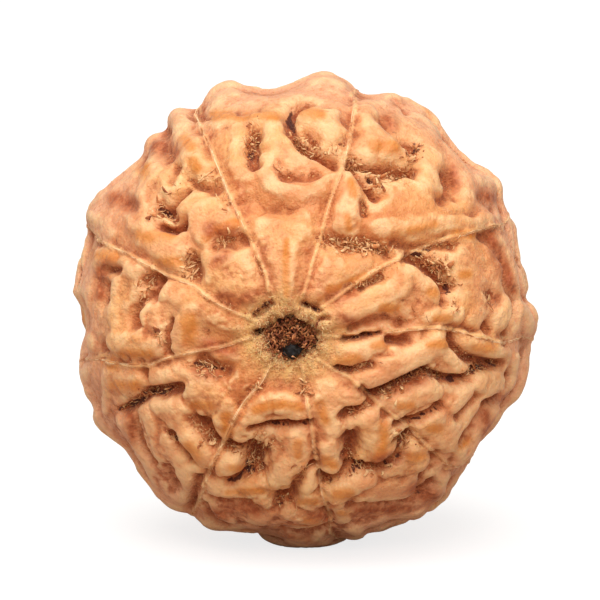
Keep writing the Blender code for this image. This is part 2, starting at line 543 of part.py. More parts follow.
def reliefLayers(directions):
    # The raised bands, the sunk bands and the distance to the seams, at each direction on the sphere
    drift = wander(directions, wanderRate, lineWander)
    points = flatMap(directions) + drift[:, :2]
    wandered = directions + drift / mapRadius
    sightAngle = np.arccos(np.clip(directions @ sightAxis, -1.0, 1.0))
    front = 1.0 - smoothStep(*frontFade, sightAngle)
    hidden = smoothStep(*hiddenFade, sightAngle)
    knobs, cracks = hiddenLines()
    narrowing = 1.0 + unevenness(directions, widthRate, 2.0 * widthVariation)
    raised = bandsAlong(points, pictureBands(ridges, ridgeUnit), padProfile, narrowing) * front
    sunk = bandsAlong(points, pictureBands(grooves, grooveUnit), grooveProfile, narrowing) * front
    hiddenRaised = bandsAlong(wandered, sphereBands(knobs, ridgeUnit), padProfile, narrowing) * hidden
    hiddenSunk = bandsAlong(wandered, sphereBands(cracks, grooveUnit), grooveProfile, narrowing) * hidden
    seamDrift = drift * seamWander
    reach = seamReach(flatMap(directions) + seamDrift[:, :2], directions + seamDrift / mapRadius)
    return np.maximum(raised, hiddenRaised), np.maximum(sunk, hiddenSunk), reach


def joinRelief(directions, raised, sunk, reach):
    furrow = seamFurrow[1] * np.exp(-(reach / seamFurrow[0]) ** 2)
    strand = seamStrand[1] * np.exp(-(reach / seamStrand[0]) ** 4)
    swell = unevenness(directions * tracedRadius, swellRate, swellHeight)
    return raised - sunk - furrow + strand + swell


def endHollow(directions):
    # Both ends dip gently round the hole, which opens there into a flared mouth
    fromShownEnd = np.arccos(np.clip(-directions[:, 1], -1.0, 1.0))
    fromFarEnd = pi - fromShownEnd
    shown = shownDip[1] * np.exp(-(fromShownEnd / shownDip[0]) ** 2)
    shown += shownMouth[1] * np.exp(-(fromShownEnd / shownMouth[0]) ** mouthSteepness)
    far = farDip[1] * np.exp(-(fromFarEnd / farDip[0]) ** 2)
    far += farMouth[1] * np.exp(-(fromFarEnd / farMouth[0]) ** mouthSteepness)
    return shown + far


def footRadius(directions):
    # One worn knob under the seed, wide enough to stand on, which falls away beside its flat
    flatAngle = restRadius / restLevel
    fromFoot = np.arccos(np.clip(-directions[:, 2], -1.0, 1.0))
    beside = np.maximum(fromFoot / flatAngle - 1.0, 0.0)
    fall = footFall * (1.0 + unevenness(directions, *footVariation))
    return restLevel / cos(flatAngle) - fall * beside ** footSteepness


def surfaceFrom(directions, height):
    # The surface's points from the seed's middle
    height = fitOutline(directions, height - endHollow(directions))
    radial = directions * (stretch + height[:, None])
    lift = footRadius(directions) / np.linalg.norm(radial, axis=1)
    return radial * np.maximum(lift, 1.0)[:, None]


def crowdedSphere():
    # An even ball whose points are drawn towards the shown end
    ball = bmesh.new()
    bmesh.ops.create_icosphere(ball, subdivisions=sphereSubdivisions, radius=1.0)
    return ball


def crowd(directions):
    polar = np.arccos(np.clip(-directions[:, 1], -1.0, 1.0))
    turn = np.arctan2(directions[:, 2], directions[:, 0])
    return aroundAxis(polar - frontCrowding * np.sin(polar), turn)


def makeCollection(name):
    collection = bpy.data.collections.new(name)
    bpy.context.scene.collection.children.link(collection)
    return collection


def seedMaterial():
    material = bpy.data.materials.new("seed")
    material.use_nodes = True
    shader = material.node_tree.nodes["Principled BSDF"]
    shader.inputs["Base Color"].default_value = (0.62, 0.33, 0.15, 1.0)
    shader.inputs["Roughness"].default_value = 0.5
    shader.inputs["Metallic"].default_value = 0.0
    return material


def makeSeed(collection):
    ball = crowdedSphere()
    mesh = bpy.data.meshes.new("seed")
    ball.to_mesh(mesh)
    ball.free()
    flat = np.empty(len(mesh.vertices) * 3, dtype=np.float32)
    mesh.vertices.foreach_get("co", flat)
    places = flat.reshape(-1, 3).astype(float)
    places /= np.linalg.norm(places, axis=1)[:, None]
    directions = crowd(places)
    surface = surfaceFrom(directions, joinRelief(directions, *reliefLayers(directions)))
    middle = (surface.max(axis=0) + surface.min(axis=0)) / 2.0
    surface += (-middle[0], -middle[1], restLevel)
    mesh.vertices.foreach_set("co", surface.astype(np.float32).ravel())
    mesh.update()
    mesh.materials.append(seedMaterial())
    mesh.shade_smooth()
    seed = bpy.data.objects.new("seed", mesh)
    collection.objects.link(seed)
    softened = seed.modifiers.new("softened", "SMOOTH")
    softened.factor = 0.5
    softened.iterations = smoothingSteps
    thinned = seed.modifiers.new("thinned", "DECIMATE")
    thinned.ratio = triangleTarget / len(mesh.polygons)
    return seed


def makeCutter(name, collection, maker, **sizes):
    maker(**sizes)
    cutter = bpy.context.object
    cutter.name = name
    for owner in list(cutter.users_collection):
        owner.objects.unlink(cutter)
    collection.objects.link(cutter)
    cutter.hide_render = True
    cutter.display_type = "WIRE"
    return cutter


def cutFrom(thing, cutter):
    cut = thing.modifiers.new(cutter.name, "BOOLEAN")
    cut.operation = "DIFFERENCE"
    cut.solver = "EXACT"
    cut.object = cutter


def main():
    for thing in list(bpy.data.objects):
        bpy.data.objects.remove(thing, do_unlink=True)
    parts = makeCollection("rudraksha_seed")
    cutters = makeCollection("cutters")
    seed = makeSeed(parts)
    channel = makeCutter("channel", cutters, bpy.ops.mesh.primitive_cylinder_add, vertices=channelSides,
                         radius=channelRadius, depth=4.0 * bodyHalfLength,
                         location=(0.0, 0.0, restLevel), rotation=(pi / 2, 0.0, 0.0))
    ground = makeCutter("ground", cutters, bpy.ops.mesh.primitive_cube_add, size=groundSize,
                        location=(0.0, 0.0, -groundSize / 2))
    cutFrom(seed, channel)
    cutFrom(seed, ground)


main()
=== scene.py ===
# Nine-faced rudraksha seed: the finish, the fine relief and the fibres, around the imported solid.
# The relief is the solid's own, laid on a much finer ball, with the grain, threads and crumbs added.
from math import acos, cos, pi, radians, sin, tau

import bmesh
import bpy
import numpy as np
from mathutils import Matrix, Vector, noise
from mathutils.bvhtree import BVHTree


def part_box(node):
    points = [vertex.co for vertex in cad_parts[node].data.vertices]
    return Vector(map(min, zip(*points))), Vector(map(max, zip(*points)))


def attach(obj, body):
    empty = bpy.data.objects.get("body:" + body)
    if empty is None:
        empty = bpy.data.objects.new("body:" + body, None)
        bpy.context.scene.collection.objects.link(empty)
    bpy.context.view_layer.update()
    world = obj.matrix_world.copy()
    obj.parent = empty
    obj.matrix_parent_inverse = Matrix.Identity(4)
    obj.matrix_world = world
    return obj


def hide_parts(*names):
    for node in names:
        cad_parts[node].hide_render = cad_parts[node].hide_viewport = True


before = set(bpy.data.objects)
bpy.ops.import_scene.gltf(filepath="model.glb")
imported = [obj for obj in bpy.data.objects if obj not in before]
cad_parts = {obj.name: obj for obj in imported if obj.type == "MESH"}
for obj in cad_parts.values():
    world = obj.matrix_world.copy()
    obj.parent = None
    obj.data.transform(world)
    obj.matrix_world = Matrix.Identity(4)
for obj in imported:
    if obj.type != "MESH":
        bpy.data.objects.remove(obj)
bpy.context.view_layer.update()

lowCorner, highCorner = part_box("seed")
footMiddle = np.array([(lowCorner.x + highCorner.x) / 2.0, (lowCorner.y + highCorner.y) / 2.0, 0.0])
print("frame loaded, seed box", [round(side * 1000.0, 2) for side in highCorner - lowCorner], "mm")

# Driving dimensions
bodyRadius = 0.01062          # across the faces, to the level between ridges and pits
bodyHalfLength = 0.01000      # along the seed's own axis, to the same level
channelRadius = 0.00055       # the stringing hole's run inside the body
restRadius = 0.0016           # the worn flat that the seed stands on
restLevel = 0.01106           # from the seed's middle down to that flat
footFall = 0.0012             # how far the foot has fallen away at twice the flat's radius
footSteepness = 1.5
footVariation = (9.0, 0.6)    # how quickly that fall varies round the foot, and by what share

shownDip = (0.24, 0.00040)    # each end's dip: its reach in radians, its depth in metres
shownMouth = (0.112, 0.00130)   # and its mouth, in the same form
farDip = (0.26, 0.00050)
farMouth = (0.09, 0.00090)
mouthSteepness = 6.0          # the higher, the steeper the mouths' walls

# How the picture sees the seed: pixels of the 600 by 600 picture
pixelSize = 0.000047          # metres a pixel at the seed's middle
pictureCentre = (305.0, 310.0)
viewDistance = 0.150
viewAzimuth = radians(4.2)    # the camera stands a little to +X of the seed's axis
viewElevation = radians(6.9)
tracedRadius = 0.0109         # mean radius of the surface that the lines were traced on

# The flat map that distances are measured on, opened up towards the outline
mapSwitchAngle = radians(56.0)
mapOuterSlope = 0.56
frontFade = (radians(90.0), radians(99.0))
hiddenFade = (radians(76.0), radians(87.0))
outlineAngle = radians(85.9)   # from the line of sight to where the silhouette lies
outlineBand = (radians(7.0), radians(20.0))
outlineFilling = 0.6          # how much of the ridges' relief is filled on the silhouette itself
ridgeTop = 0.00040
bandReach = 2.4               # a band ends this many half widths from its line
joinSharpness = 5.0
padFoot = 1.12                # a pad ends at this many half widths, and this makes its top flat
padFlatness = 3.2
padSkirt = 0.48               # the share of its height that spreads into the skirt, and how far
skirtReach = 1.7
grooveFlare = 2.2             # the higher, the steeper a groove's sides
ridgeUnit = 0.0001            # the ridges below give their heights in these
grooveUnit = 0.00012          # and the grooves and pits their depths in these
widthRate = 14.0              # how quickly a band's width varies along it, and by what share
widthVariation = 0.30

# Slow unevenness: its height in metres and how many waves fit in a metre
swellHeight = 0.00010
swellRate = 420.0
lineWander = 2.0              # pixels that the traced lines wander sideways
seamWander = 0.3              # the share of it that the seams follow
wanderRate = 9.0
wanderSeed = 1795625171       # fixes the wander's noise, whose offsets Blender otherwise draws by the clock

# The seed's silhouette, followed round the picture from the left, clockwise
outlineTrace = [
    (72, 292), (76, 278), (80, 255), (85, 235), (83, 222), (83, 211), (90, 200), (110, 180), (128, 165),
    (141, 154), (146, 140), (152, 134), (166, 130), (167, 115), (174, 107), (185, 106), (197, 106), (203, 96),
    (215, 84), (231, 78), (242, 84), (268, 86), (286, 82), (300, 78), (315, 72), (326, 70), (350, 79),
    (359, 88), (369, 93), (393, 90), (403, 95), (415, 103), (432, 111), (450, 133), (470, 162), (486, 168),
    (501, 177), (505, 190), (506, 201), (517, 219), (517, 240), (521, 260), (528, 275), (529, 287), (524, 298),
    (536, 308), (540, 322), (537, 340), (529, 353), (528, 370), (522, 396), (506, 408), (500, 422), (479, 446),
    (474, 465), (453, 488), (450, 498), (425, 518), (412, 523), (394, 525), (382, 532), (368, 535), (360, 543),
    (338, 541), (327, 549), (308, 550), (290, 549), (281, 541), (262, 537), (237, 532), (207, 532), (196, 520),
    (172, 514), (158, 502), (151, 488), (138, 472), (127, 453), (110, 440), (92, 423), (91, 410), (79, 388),
    (75, 365), (79, 345), (84, 330), (84, 315), (77, 302),
]

# The nine seams, from the hole outwards, by the clock position that each runs to
seams = {
    "eleven": [(266, 290), (265, 275), (255, 250), (246, 235), (236, 208), (226, 190), (218, 170), (211, 150),
               (203, 133), (192, 108)],
    "one": [(300, 300), (307, 280), (312, 262), (319, 240), (324, 222), (330, 198), (337, 180), (345, 160),
            (350, 140), (354, 115), (357, 92)],
    "two": [(318, 310), (350, 286), (380, 267), (405, 253), (420, 247), (432, 241), (450, 235), (480, 228),
            (506, 222)],
    "three": [(325, 336), (342, 337), (357, 336), (370, 331), (383, 330), (400, 333), (416, 328), (440, 326),
              (462, 331), (484, 337), (510, 344)],
    "four": [(318, 362), (335, 372), (350, 378), (362, 388), (375, 402), (390, 412), (408, 427), (425, 443),
             (438, 456), (452, 468)],
    "six": [(302, 370), (306, 395), (309, 415), (313, 437), (315, 455), (319, 480), (324, 500), (330, 522)],
    "seven": [(268, 368), (258, 387), (243, 402), (234, 418), (228, 430), (220, 446), (211, 464), (204, 482),
              (200, 498), (192, 514)],
    "eight": [(250, 338), (232, 343), (215, 349), (195, 352), (172, 356), (155, 361), (143, 367), (122, 366),
              (100, 362)],
    "ten": [(262, 325), (245, 318), (225, 309), (205, 296), (185, 281), (166, 275), (150, 268), (133, 257),
            (115, 248), (92, 238)],
}
seamFurrow = (9.0, 0.00016)   # half width in pixels, depth in metres
seamStrand = (1.8, 0.00012)   # half width in pixels, height in metres

# Ridges and knobs: half width in pixels, height in tenths of a millimetre, then the line
ridges = {
    # Between the seams at eleven and one
    "upper left shoulder": (15, 1.5, [(226, 98), (240, 96), (264, 98)]),
    "left horn": (8, 1.9, [(214, 121), (222, 115), (235, 118), (236, 136), (234, 156)]),
    "right horn": (10, 2.6, [(257, 115), (270, 117), (274, 130), (271, 148), (263, 162)]),
    "foot of the oval": (9, 1.7, [(236, 160), (244, 172), (258, 170)]),
    "cap knob": (12, 4.8, [(307, 117), (318, 115), (331, 121), (334, 130)]),
    "crown": (12, 2.0, [(314, 80), (330, 80), (346, 88)]),
    "brow over the cap": (8, 1.3, [(280, 94), (300, 90), (322, 96), (344, 106)]),
    "pad beside the cap": (10, 1.9, [(280, 128), (284, 150), (300, 163)]),
    "smile": (8, 3.3, [(262, 171), (272, 182), (288, 189), (304, 191), (317, 187), (328, 179), (345, 173)]),
    "pad under the smile": (17, 1.6, [(268, 228), (285, 232), (296, 222)]),
    "middle ridge": (8, 2.4, [(300, 228), (290, 247), (287, 268), (286, 293)]),
    "left facet": (12, 1.6, [(262, 240), (270, 262), (274, 285)]),
    # Between the seams at one and two
    "drooping finger": (12, 3.9, [(366, 110), (372, 124), (378, 136), (390, 141)]),
    "finger's root": (10, 1.8, [(364, 98), (382, 99)]),
    "upper right brow": (8, 1.8, [(394, 96), (406, 108), (426, 114), (440, 124)]),
    "yellow pad": (10, 1.8, [(398, 117), (414, 121), (424, 132)]),
    "outer sweep": (12, 1.9, [(434, 132), (436, 150), (433, 168), (429, 190)]),
    "right shoulder": (9, 1.8, [(450, 144), (464, 165), (474, 184), (472, 202)]),
    "right shoulder knob": (9, 2.0, [(482, 174), (499, 182)]),
    "block": (12, 3.4, [(350, 184), (350, 200), (344, 222)]),
    "broad pad": (20, 2.0, [(390, 203), (418, 204), (446, 207)]),
    "shelf": (9, 3.2, [(383, 226), (405, 226), (425, 221), (450, 222), (472, 224), (492, 220)]),
    "shelf's tip": (9, 2.2, [(456, 233), (473, 231)]),
    "pad by the second seam": (12, 2.2, [(318, 278), (330, 267), (350, 268), (370, 270)]),
    "inner ridge": (8, 2.0, [(300, 300), (316, 291), (334, 284)]),
    # Between the seams at two and three
    "flange": (13, 4.0, [(326, 320), (345, 311), (370, 302), (392, 292), (403, 280)]),
    "flange's fin": (5, 1.9, [(384, 300), (397, 284), (406, 268), (414, 258)]),
    "wedge": (11, 2.7, [(414, 272), (427, 283), (436, 292)]),
    "amber knob": (9, 3.5, [(432, 318), (445, 314), (458, 317)]),
    "right pad": (19, 2.3, [(463, 258), (474, 275), (478, 300)]),
    "right pad's foot": (9, 2.8, [(482, 311), (474, 321)]),
    "limb rib": (9, 1.9, [(496, 248), (502, 268), (503, 288)]),
    "east pad": (12, 2.9, [(505, 304), (508, 320), (501, 336)]),
    "east knob": (11, 3.0, [(531, 310), (534, 327)]),
    # Between the seams at three and four
    "first step": (8, 3.3, [(345, 353), (362, 349), (382, 344)]),
    "first toe": (7, 2.9, [(337, 362), (352, 362), (366, 357)]),
    "long ridge": (12, 4.8, [(362, 383), (385, 372), (410, 360), (428, 348), (438, 341)]),
    "step knob": (8, 3.1, [(399, 350), (414, 343)]),
    "crescent": (8, 3.7, [(452, 357), (461, 366)]),
    "middle bar": (12, 4.4, [(397, 403), (411, 401), (430, 390)]),
    "big knob": (19, 4.6, [(432, 424), (443, 430), (445, 438)]),
    "finger": (10, 5.0, [(467, 340), (485, 346), (503, 354)]),
    "far pad": (12, 3.0, [(484, 384), (500, 384)]),
    "far ridge": (8, 3.3, [(471, 393), (455, 406)]),
    "outer far ridge": (7, 2.9, [(498, 393), (480, 412), (465, 431)]),
    "rim ridge": (7, 2.3, [(521, 360), (518, 386)]),
    "low rim": (8, 2.3, [(500, 414), (486, 434), (472, 455)]),
    # Between the seams at four and six
    "heart's left lobe": (13, 4.8, [(369, 413), (374, 428), (380, 448)]),
    "heart's right lobe": (12, 4.8, [(392, 426), (400, 432), (389, 444), (380, 454)]),
    "flank": (9, 2.9, [(340, 397), (352, 397), (366, 399)]),
    "spine": (12, 2.6, [(331, 390), (332, 410), (330, 432)]),
    "drop": (10, 4.4, [(329, 450), (331, 469)]),
    "chip": (5, 2.4, [(353, 420), (353, 438)]),
    "small amber knob": (10, 3.9, [(412, 449), (423, 462)]),
    "bar": (10, 4.8, [(334, 496), (350, 488), (370, 478)]),
    "bar's tail": (8, 2.6, [(386, 474), (410, 469), (430, 462)]),
    "smooth pad": (14, 2.9, [(368, 497), (390, 493), (410, 490)]),
    "low knob": (8, 2.4, [(341, 512), (343, 524)]),
    "rim knob": (9, 2.6, [(462, 446), (462, 464)]),
    "rim knob's foot": (9, 2.4, [(448, 479), (440, 492)]),
    "foot pad": (9, 2.2, [(356, 532), (385, 523), (415, 513)]),
    # Between the seams at six and seven
    "arch": (12, 4.8, [(241, 433), (250, 416), (266, 403), (288, 403), (304, 412)]),
    "dome": (14, 4.2, [(299, 444), (297, 461), (288, 474)]),
    "small dome": (9, 4.0, [(308, 483), (308, 487)]),
    "lower dome": (10, 3.3, [(305, 502), (319, 503)]),
    "lip": (9, 2.9, [(290, 518), (308, 524), (324, 521)]),
    "knob in the pit": (11, 4.6, [(222, 468), (234, 466)]),
    "lower shelf": (9, 3.2, [(207, 487), (222, 492), (245, 492), (268, 488), (280, 480)]),
    "thin edge": (4, 2.2, [(203, 503), (216, 515), (232, 524)]),
    "bottom pad": (12, 2.4, [(262, 507), (257, 524)]),
    "left foot": (8, 2.3, [(202, 520), (225, 529), (250, 531)]),
    # Between the seams at seven and eight
    "side pebble": (9, 3.9, [(226, 411), (219, 432)]),
    "pale pad": (13, 2.9, [(156, 405), (170, 412), (182, 424)]),
    "bright finger": (9, 4.2, [(185, 438), (196, 450), (206, 463)]),
    "outer finger": (7, 3.0, [(162, 441), (168, 456), (181, 468), (195, 472)]),
    "outer strip": (7, 2.6, [(141, 412), (149, 428), (154, 447), (160, 462)]),
    "tail": (9, 3.0, [(181, 474), (188, 488)]),
    "round knob": (16, 2.6, [(122, 379), (131, 382)]),
    "rim strip": (6, 2.0, [(104, 374), (102, 392), (103, 410)]),
    "upper pad": (12, 2.1, [(150, 376), (170, 378), (185, 390)]),
    "inner pad": (12, 2.0, [(190, 386), (205, 395), (216, 402)]),
    "low left rib": (8, 2.3, [(120, 422), (132, 446), (146, 471), (157, 492)]),
    # Between the seams at eight and ten
    "facet ridge": (9, 2.8, [(190, 309), (180, 325), (172, 345)]),
    "seam pad": (13, 2.0, [(165, 291), (190, 297), (214, 311)]),
    "amber shelf": (11, 3.3, [(112, 343), (130, 345), (150, 346)]),
    "upright rib": (6, 2.7, [(140, 305), (137, 322), (136, 336)]),
    "middle pad": (8, 1.8, [(150, 308), (151, 326)]),
    "west knob": (12, 3.0, [(122, 264), (132, 268)]),
    "edge rib": (5, 2.0, [(118, 266), (113, 285), (110, 310), (113, 333), (121, 357)]),
    "far west knob": (12, 2.5, [(100, 250), (100, 256)]),
    "west rim": (9, 1.9, [(80, 284), (82, 300)]),
    "lower west rim": (10, 1.9, [(85, 346), (83, 368), (87, 390)]),
    "orange curve": (7, 1.9, [(112, 353), (108, 368)]),
    # Between the seams at ten and eleven
    "big pad": (21, 2.6, [(214, 262), (232, 268)]),
    "pad's foot": (12, 1.9, [(226, 284), (246, 291)]),
    "ledge": (11, 3.2, [(201, 235), (216, 227), (238, 223)]),
    "upper ledge": (12, 2.3, [(188, 214), (205, 207), (227, 213)]),
    "pad by the tenth seam": (14, 3.0, [(148, 240), (162, 247), (172, 254)]),
    "sweeping ridge": (8, 2.5, [(129, 222), (134, 202), (140, 182), (152, 167)]),
    "sweep's pad": (9, 2.4, [(139, 224), (149, 234)]),
    "west brow": (8, 2.0, [(96, 204), (110, 190), (128, 170)]),
    "west pad": (11, 2.0, [(92, 220), (100, 234)]),
    "upper knob": (13, 2.6, [(188, 137), (190, 154)]),
    "top left pad": (11, 2.0, [(176, 114), (179, 130)]),
    "small shoulder": (11, 1.7, [(206, 112), (200, 126)]),
    "north west brow": (9, 1.8, [(150, 142), (144, 156)]),
    "middle bump": (9, 1.7, [(160, 173), (169, 180)]),
}

# Cracks and grooves: half width in pixels, depth in tenths of a millimetre, then the line
grooves = {
    "cap's groove": (7, 7.0, [(307, 98), (294, 103), (287, 115), (291, 128), (303, 141), (320, 151),
                              (334, 156)]),
    "under the cap": (5, 3.5, [(297, 121), (308, 131), (316, 138)]),
    "dip under the brow": (8, 1.9, [(239, 105), (256, 104)]),
    "under the smile": (10, 2.4, [(243, 197), (262, 203), (287, 205)]),
    "in the smile": (6, 3.0, [(282, 173), (300, 171), (316, 170)]),
    "shoulder dip": (7, 2.2, [(190, 112), (206, 111)]),
    "under the finger": (7, 8.0, [(352, 158), (370, 160), (390, 159), (402, 163), (416, 166)]),
    "beside the finger": (6, 3.7, [(384, 118), (389, 128), (401, 136), (413, 140), (419, 152)]),
    "cavity's tail": (6, 6.0, [(358, 168), (368, 182), (376, 191)]),
    "cavity's floor": (6, 5.0, [(374, 172), (396, 170)]),
    "north east cleft": (5, 3.1, [(396, 98), (409, 108)]),
    "side pit": (8, 4.2, [(450, 170), (456, 180), (452, 192), (446, 197)]),
    "limb dip": (8, 2.7, [(488, 193), (500, 205)]),
    "short fissure": (4, 3.0, [(363, 200), (365, 211)]),
    "under the shelf": (6, 3.4, [(398, 239), (425, 243), (456, 244)]),
    "east limb groove": (7, 3.6, [(491, 232), (498, 244), (510, 262), (512, 285), (519, 297)]),
    "fibre pit": (9, 7.5, [(419, 254), (432, 261), (444, 273), (450, 285)]),
    "fibre pit's tail": (4, 6.0, [(446, 289), (447, 300)]),
    "east dimple": (7, 2.5, [(495, 294), (498, 300)]),
    "pin hole": (4, 3.8, [(490, 326), (491, 331)]),
    "under the flange": (6, 3.2, [(352, 327), (372, 320), (392, 316), (402, 322)]),
    "east groove": (6, 3.4, [(521, 300), (518, 318), (511, 333)]),
    "crack by the third seam": (3.5, 4.8, [(345, 338), (357, 339), (369, 335), (383, 332)]),
    "hollow under the lip": (6, 6.0, [(392, 341), (402, 343), (411, 340)]),
    "toe crack": (4, 4.6, [(339, 369), (352, 373), (372, 365)]),
    "long crack": (6, 7.5, [(373, 397), (388, 390), (402, 383), (414, 376), (428, 371)]),
    "long crack's end": (5, 5.5, [(428, 371), (441, 377), (456, 381), (471, 377), (488, 368), (504, 362)]),
    "round hole": (5, 8.0, [(446, 380), (448, 380)]),
    "behind the finger": (6, 5.5, [(455, 340), (460, 350), (471, 358), (486, 361), (500, 362)]),
    "bar crack": (4, 5.2, [(396, 425), (410, 424), (425, 415), (441, 406)]),
    "slit": (4, 3.2, [(478, 396), (468, 408), (459, 419)]),
    "rim crack": (6, 5.1, [(513, 378), (510, 395), (498, 402), (484, 415), (472, 432), (463, 442)]),
    "heart crack": (5, 5.6, [(345, 418), (360, 411), (374, 403)]),
    "notch": (3.5, 5.0, [(362, 388), (374, 399)]),
    "beside the heart": (8, 7.0, [(352, 440), (355, 452), (348, 463)]),
    "under the heart": (5, 7.0, [(322, 481), (340, 478), (358, 468), (372, 470), (390, 464), (401, 452),
                                 (408, 440)]),
    "kidney": (6, 6.0, [(398, 440), (411, 436)]),
    "low groove": (6, 4.2, [(352, 512), (380, 509), (405, 508), (425, 498), (436, 487)]),
    "elbow groove": (5, 3.9, [(440, 455), (432, 470), (424, 485), (418, 498)]),
    "low notch": (4, 3.6, [(323, 515), (330, 521)]),
    "under the arch": (4, 6.5, [(250, 428), (270, 427), (290, 427), (308, 424)]),
    "dark pit": (13, 9.5, [(250, 455), (251, 470)]),
    "dark pit's west": (6, 6.5, [(225, 449), (240, 452)]),
    "dark pit's tail": (6, 6.5, [(228, 484), (246, 478)]),
    "low pit": (8, 6.0, [(280, 505), (292, 500)]),
    "under the domes": (5, 4.0, [(292, 491), (305, 472), (314, 470)]),
    "bottom groove": (6, 4.2, [(283, 536), (305, 538), (325, 534)]),
    "under the lower shelf": (8, 4.2, [(220, 506), (240, 508), (255, 513)]),
    "heel": (6, 3.1, [(203, 509), (212, 520), (225, 526)]),
    "pebble pit": (8, 6.5, [(192, 422), (203, 430), (210, 442)]),
    "west slit": (4, 4.2, [(169, 436), (176, 443), (182, 452), (188, 460)]),
    "west crevice": (7, 7.0, [(174, 391), (158, 394), (142, 394)]),
    "west crevice's tail": (6, 5.1, [(142, 396), (130, 407), (118, 411)]),
    "strip groove": (4, 3.1, [(130, 415), (133, 435), (142, 455), (150, 466)]),
    "tail hollow": (8, 3.2, [(163, 472), (171, 490)]),
    "tail groove": (5, 3.4, [(195, 481), (190, 497), (189, 509)]),
    "thread pit": (3, 3.2, [(140, 372), (143, 386)]),
    "pit by the eighth seam": (8, 4.4, [(195, 363), (210, 368), (221, 375)]),
    "west pit": (9, 6.5, [(142, 279), (154, 278), (146, 291)]),
    "west pit's tail": (6, 4.5, [(138, 299), (130, 312), (132, 324)]),
    "flake crack": (3, 3.6, [(168, 320), (163, 335), (165, 353)]),
    "soft dip": (8, 2.7, [(99, 285), (101, 296)]),
    "lower soft dip": (8, 2.5, [(96, 346), (99, 350)]),
    "under the far west knob": (6, 3.6, [(101, 269), (113, 269)]),
    "fall of the facet": (9, 2.4, [(205, 334), (224, 341)]),
    "pit by the big pad": (9, 5.0, [(189, 260), (192, 271)]),
    "twin pit": (7, 6.0, [(166, 212), (160, 206)]),
    "twin cleft": (5, 7.0, [(155, 208), (165, 203), (175, 194), (182, 186)]),
    "twin's lower pit": (6, 7.0, [(156, 222), (168, 224), (178, 220)]),
    "under the ledge": (8, 4.2, [(217, 240), (229, 243), (239, 235)]),
    "upper pit": (8, 4.0, [(189, 178), (206, 182)]),
    "upper dip": (9, 3.1, [(160, 144), (163, 152)]),
    "dust pit": (8, 2.9, [(121, 200), (129, 205)]),
    "west hollow": (7, 2.5, [(105, 184), (116, 174)]),
    "red spot": (5, 2.5, [(173, 165), (166, 177)]),
    "west cleft by the hole": (4, 5.0, [(251, 314), (259, 307), (268, 302)]),
    "east cleft by the hole": (3.5, 4.4, [(305, 303), (312, 306), (319, 311)]),
    "purple spot": (3.5, 3.0, [(321, 320), (328, 318)]),
    "oval pit": (8, 7.0, [(252, 130), (249, 142), (251, 155)]),
    "wide fibre hollow": (10, 3.6, [(334, 237), (350, 244), (370, 240), (388, 247)]),
    "fissures of the wedge": (4, 2.6, [(362, 287), (384, 275)]),
}

# The hidden faces: where their rows of pads lie, from the shown end, and their random seed
rowStep = radians(11.5)
rowAngles = [radians(74.0) + rowStep * row for row in range(8)]
seamEnd = radians(171.0)
hiddenSeed = 27


# The picture's line of sight, to its right and upwards
viewBack = np.array([sin(viewAzimuth) * cos(viewElevation), -cos(viewAzimuth) * cos(viewElevation),
                     sin(viewElevation)])
viewRight = np.array([cos(viewAzimuth), sin(viewAzimuth), 0.0])
viewUp = np.cross(viewBack, viewRight)

# The body is a sphere of radius one stretched by these, and all lines are laid on that sphere
stretch = np.array([bodyRadius, bodyHalfLength, bodyRadius])
tracedStretch = stretch * tracedRadius / bodyRadius
eyeOnSphere = viewBack * viewDistance / tracedStretch
sightAxis = eyeOnSphere / np.linalg.norm(eyeOnSphere)
sightRight = viewRight - sightAxis * (viewRight @ sightAxis)
sightRight /= np.linalg.norm(sightRight)
sightUp = np.cross(sightAxis, sightRight)
mapRadius = tracedRadius / pixelSize


def pictureToSphere(pixels):
    # Where the line of sight through each pixel first meets the sphere
    across = (np.array(pixels, dtype=float) - pictureCentre) * pixelSize
    targets = across[:, :1] * viewRight - across[:, 1:] * viewUp
    eye = eyeOnSphere
    ray = targets / tracedStretch - eye
    ray /= np.linalg.norm(ray, axis=1)[:, None]
    along = -(ray @ eye)
    miss = np.maximum(1.0 - (eye @ eye - along ** 2), 0.0)
    hit = eye + ray * (along - np.sqrt(miss))[:, None]
    return hit / np.linalg.norm(hit, axis=1)[:, None]


def flatMap(directions):
    # An azimuthal map about the line of sight, in pixels, wider than the picture near the outline
    angle = np.arccos(np.clip(directions @ sightAxis, -1.0, 1.0))
    right = directions @ sightRight
    up = directions @ sightUp
    outer = sin(mapSwitchAngle) + mapOuterSlope * (angle - mapSwitchAngle)
    radius = np.where(angle < mapSwitchAngle, np.sin(angle), outer)
    scale = mapRadius * radius / np.maximum(np.hypot(right, up), 1e-9)
    return np.stack([right * scale, up * scale], axis=1)


def distanceToLine(points, line):
    # The shortest distance from each point to a line of straight pieces, in the points' own units
    nearest = np.full(len(points), np.inf)
    for start, end in zip(line[:-1], line[1:]):
        piece = end - start
        share = np.clip((points - start) @ piece / max(piece @ piece, 1e-12), 0.0, 1.0)
        offset = points - start - share[:, None] * piece
        nearest = np.minimum(nearest, np.sqrt(np.einsum("ij,ij->i", offset, offset)))
    return nearest


def roundedLine(line):
    # Corners cut twice, so that a traced line bends like a grown one
    for _ in range(2):
        if len(line) < 3:
            return line
        quarter = line[:-1] * 0.75 + line[1:] * 0.25
        threeQuarters = line[:-1] * 0.25 + line[1:] * 0.75
        middle = np.stack([quarter, threeQuarters], axis=1).reshape(-1, line.shape[1])
        line = np.concatenate([line[:1], middle, line[-1:]])
    return line


def padProfile(reach):
    # A rounded pad: nearly flat on top and steep at its edge, with a soft skirt round it
    pad = 1.0 - np.clip(reach / padFoot, 0.0, 1.0) ** padFlatness
    return pad * (1.0 - padSkirt) + padSkirt * np.exp(-(reach / skirtReach) ** 2)


def grooveProfile(reach):
    # A groove with a narrow round floor and sides that open upwards
    return np.exp(-reach ** grooveFlare)


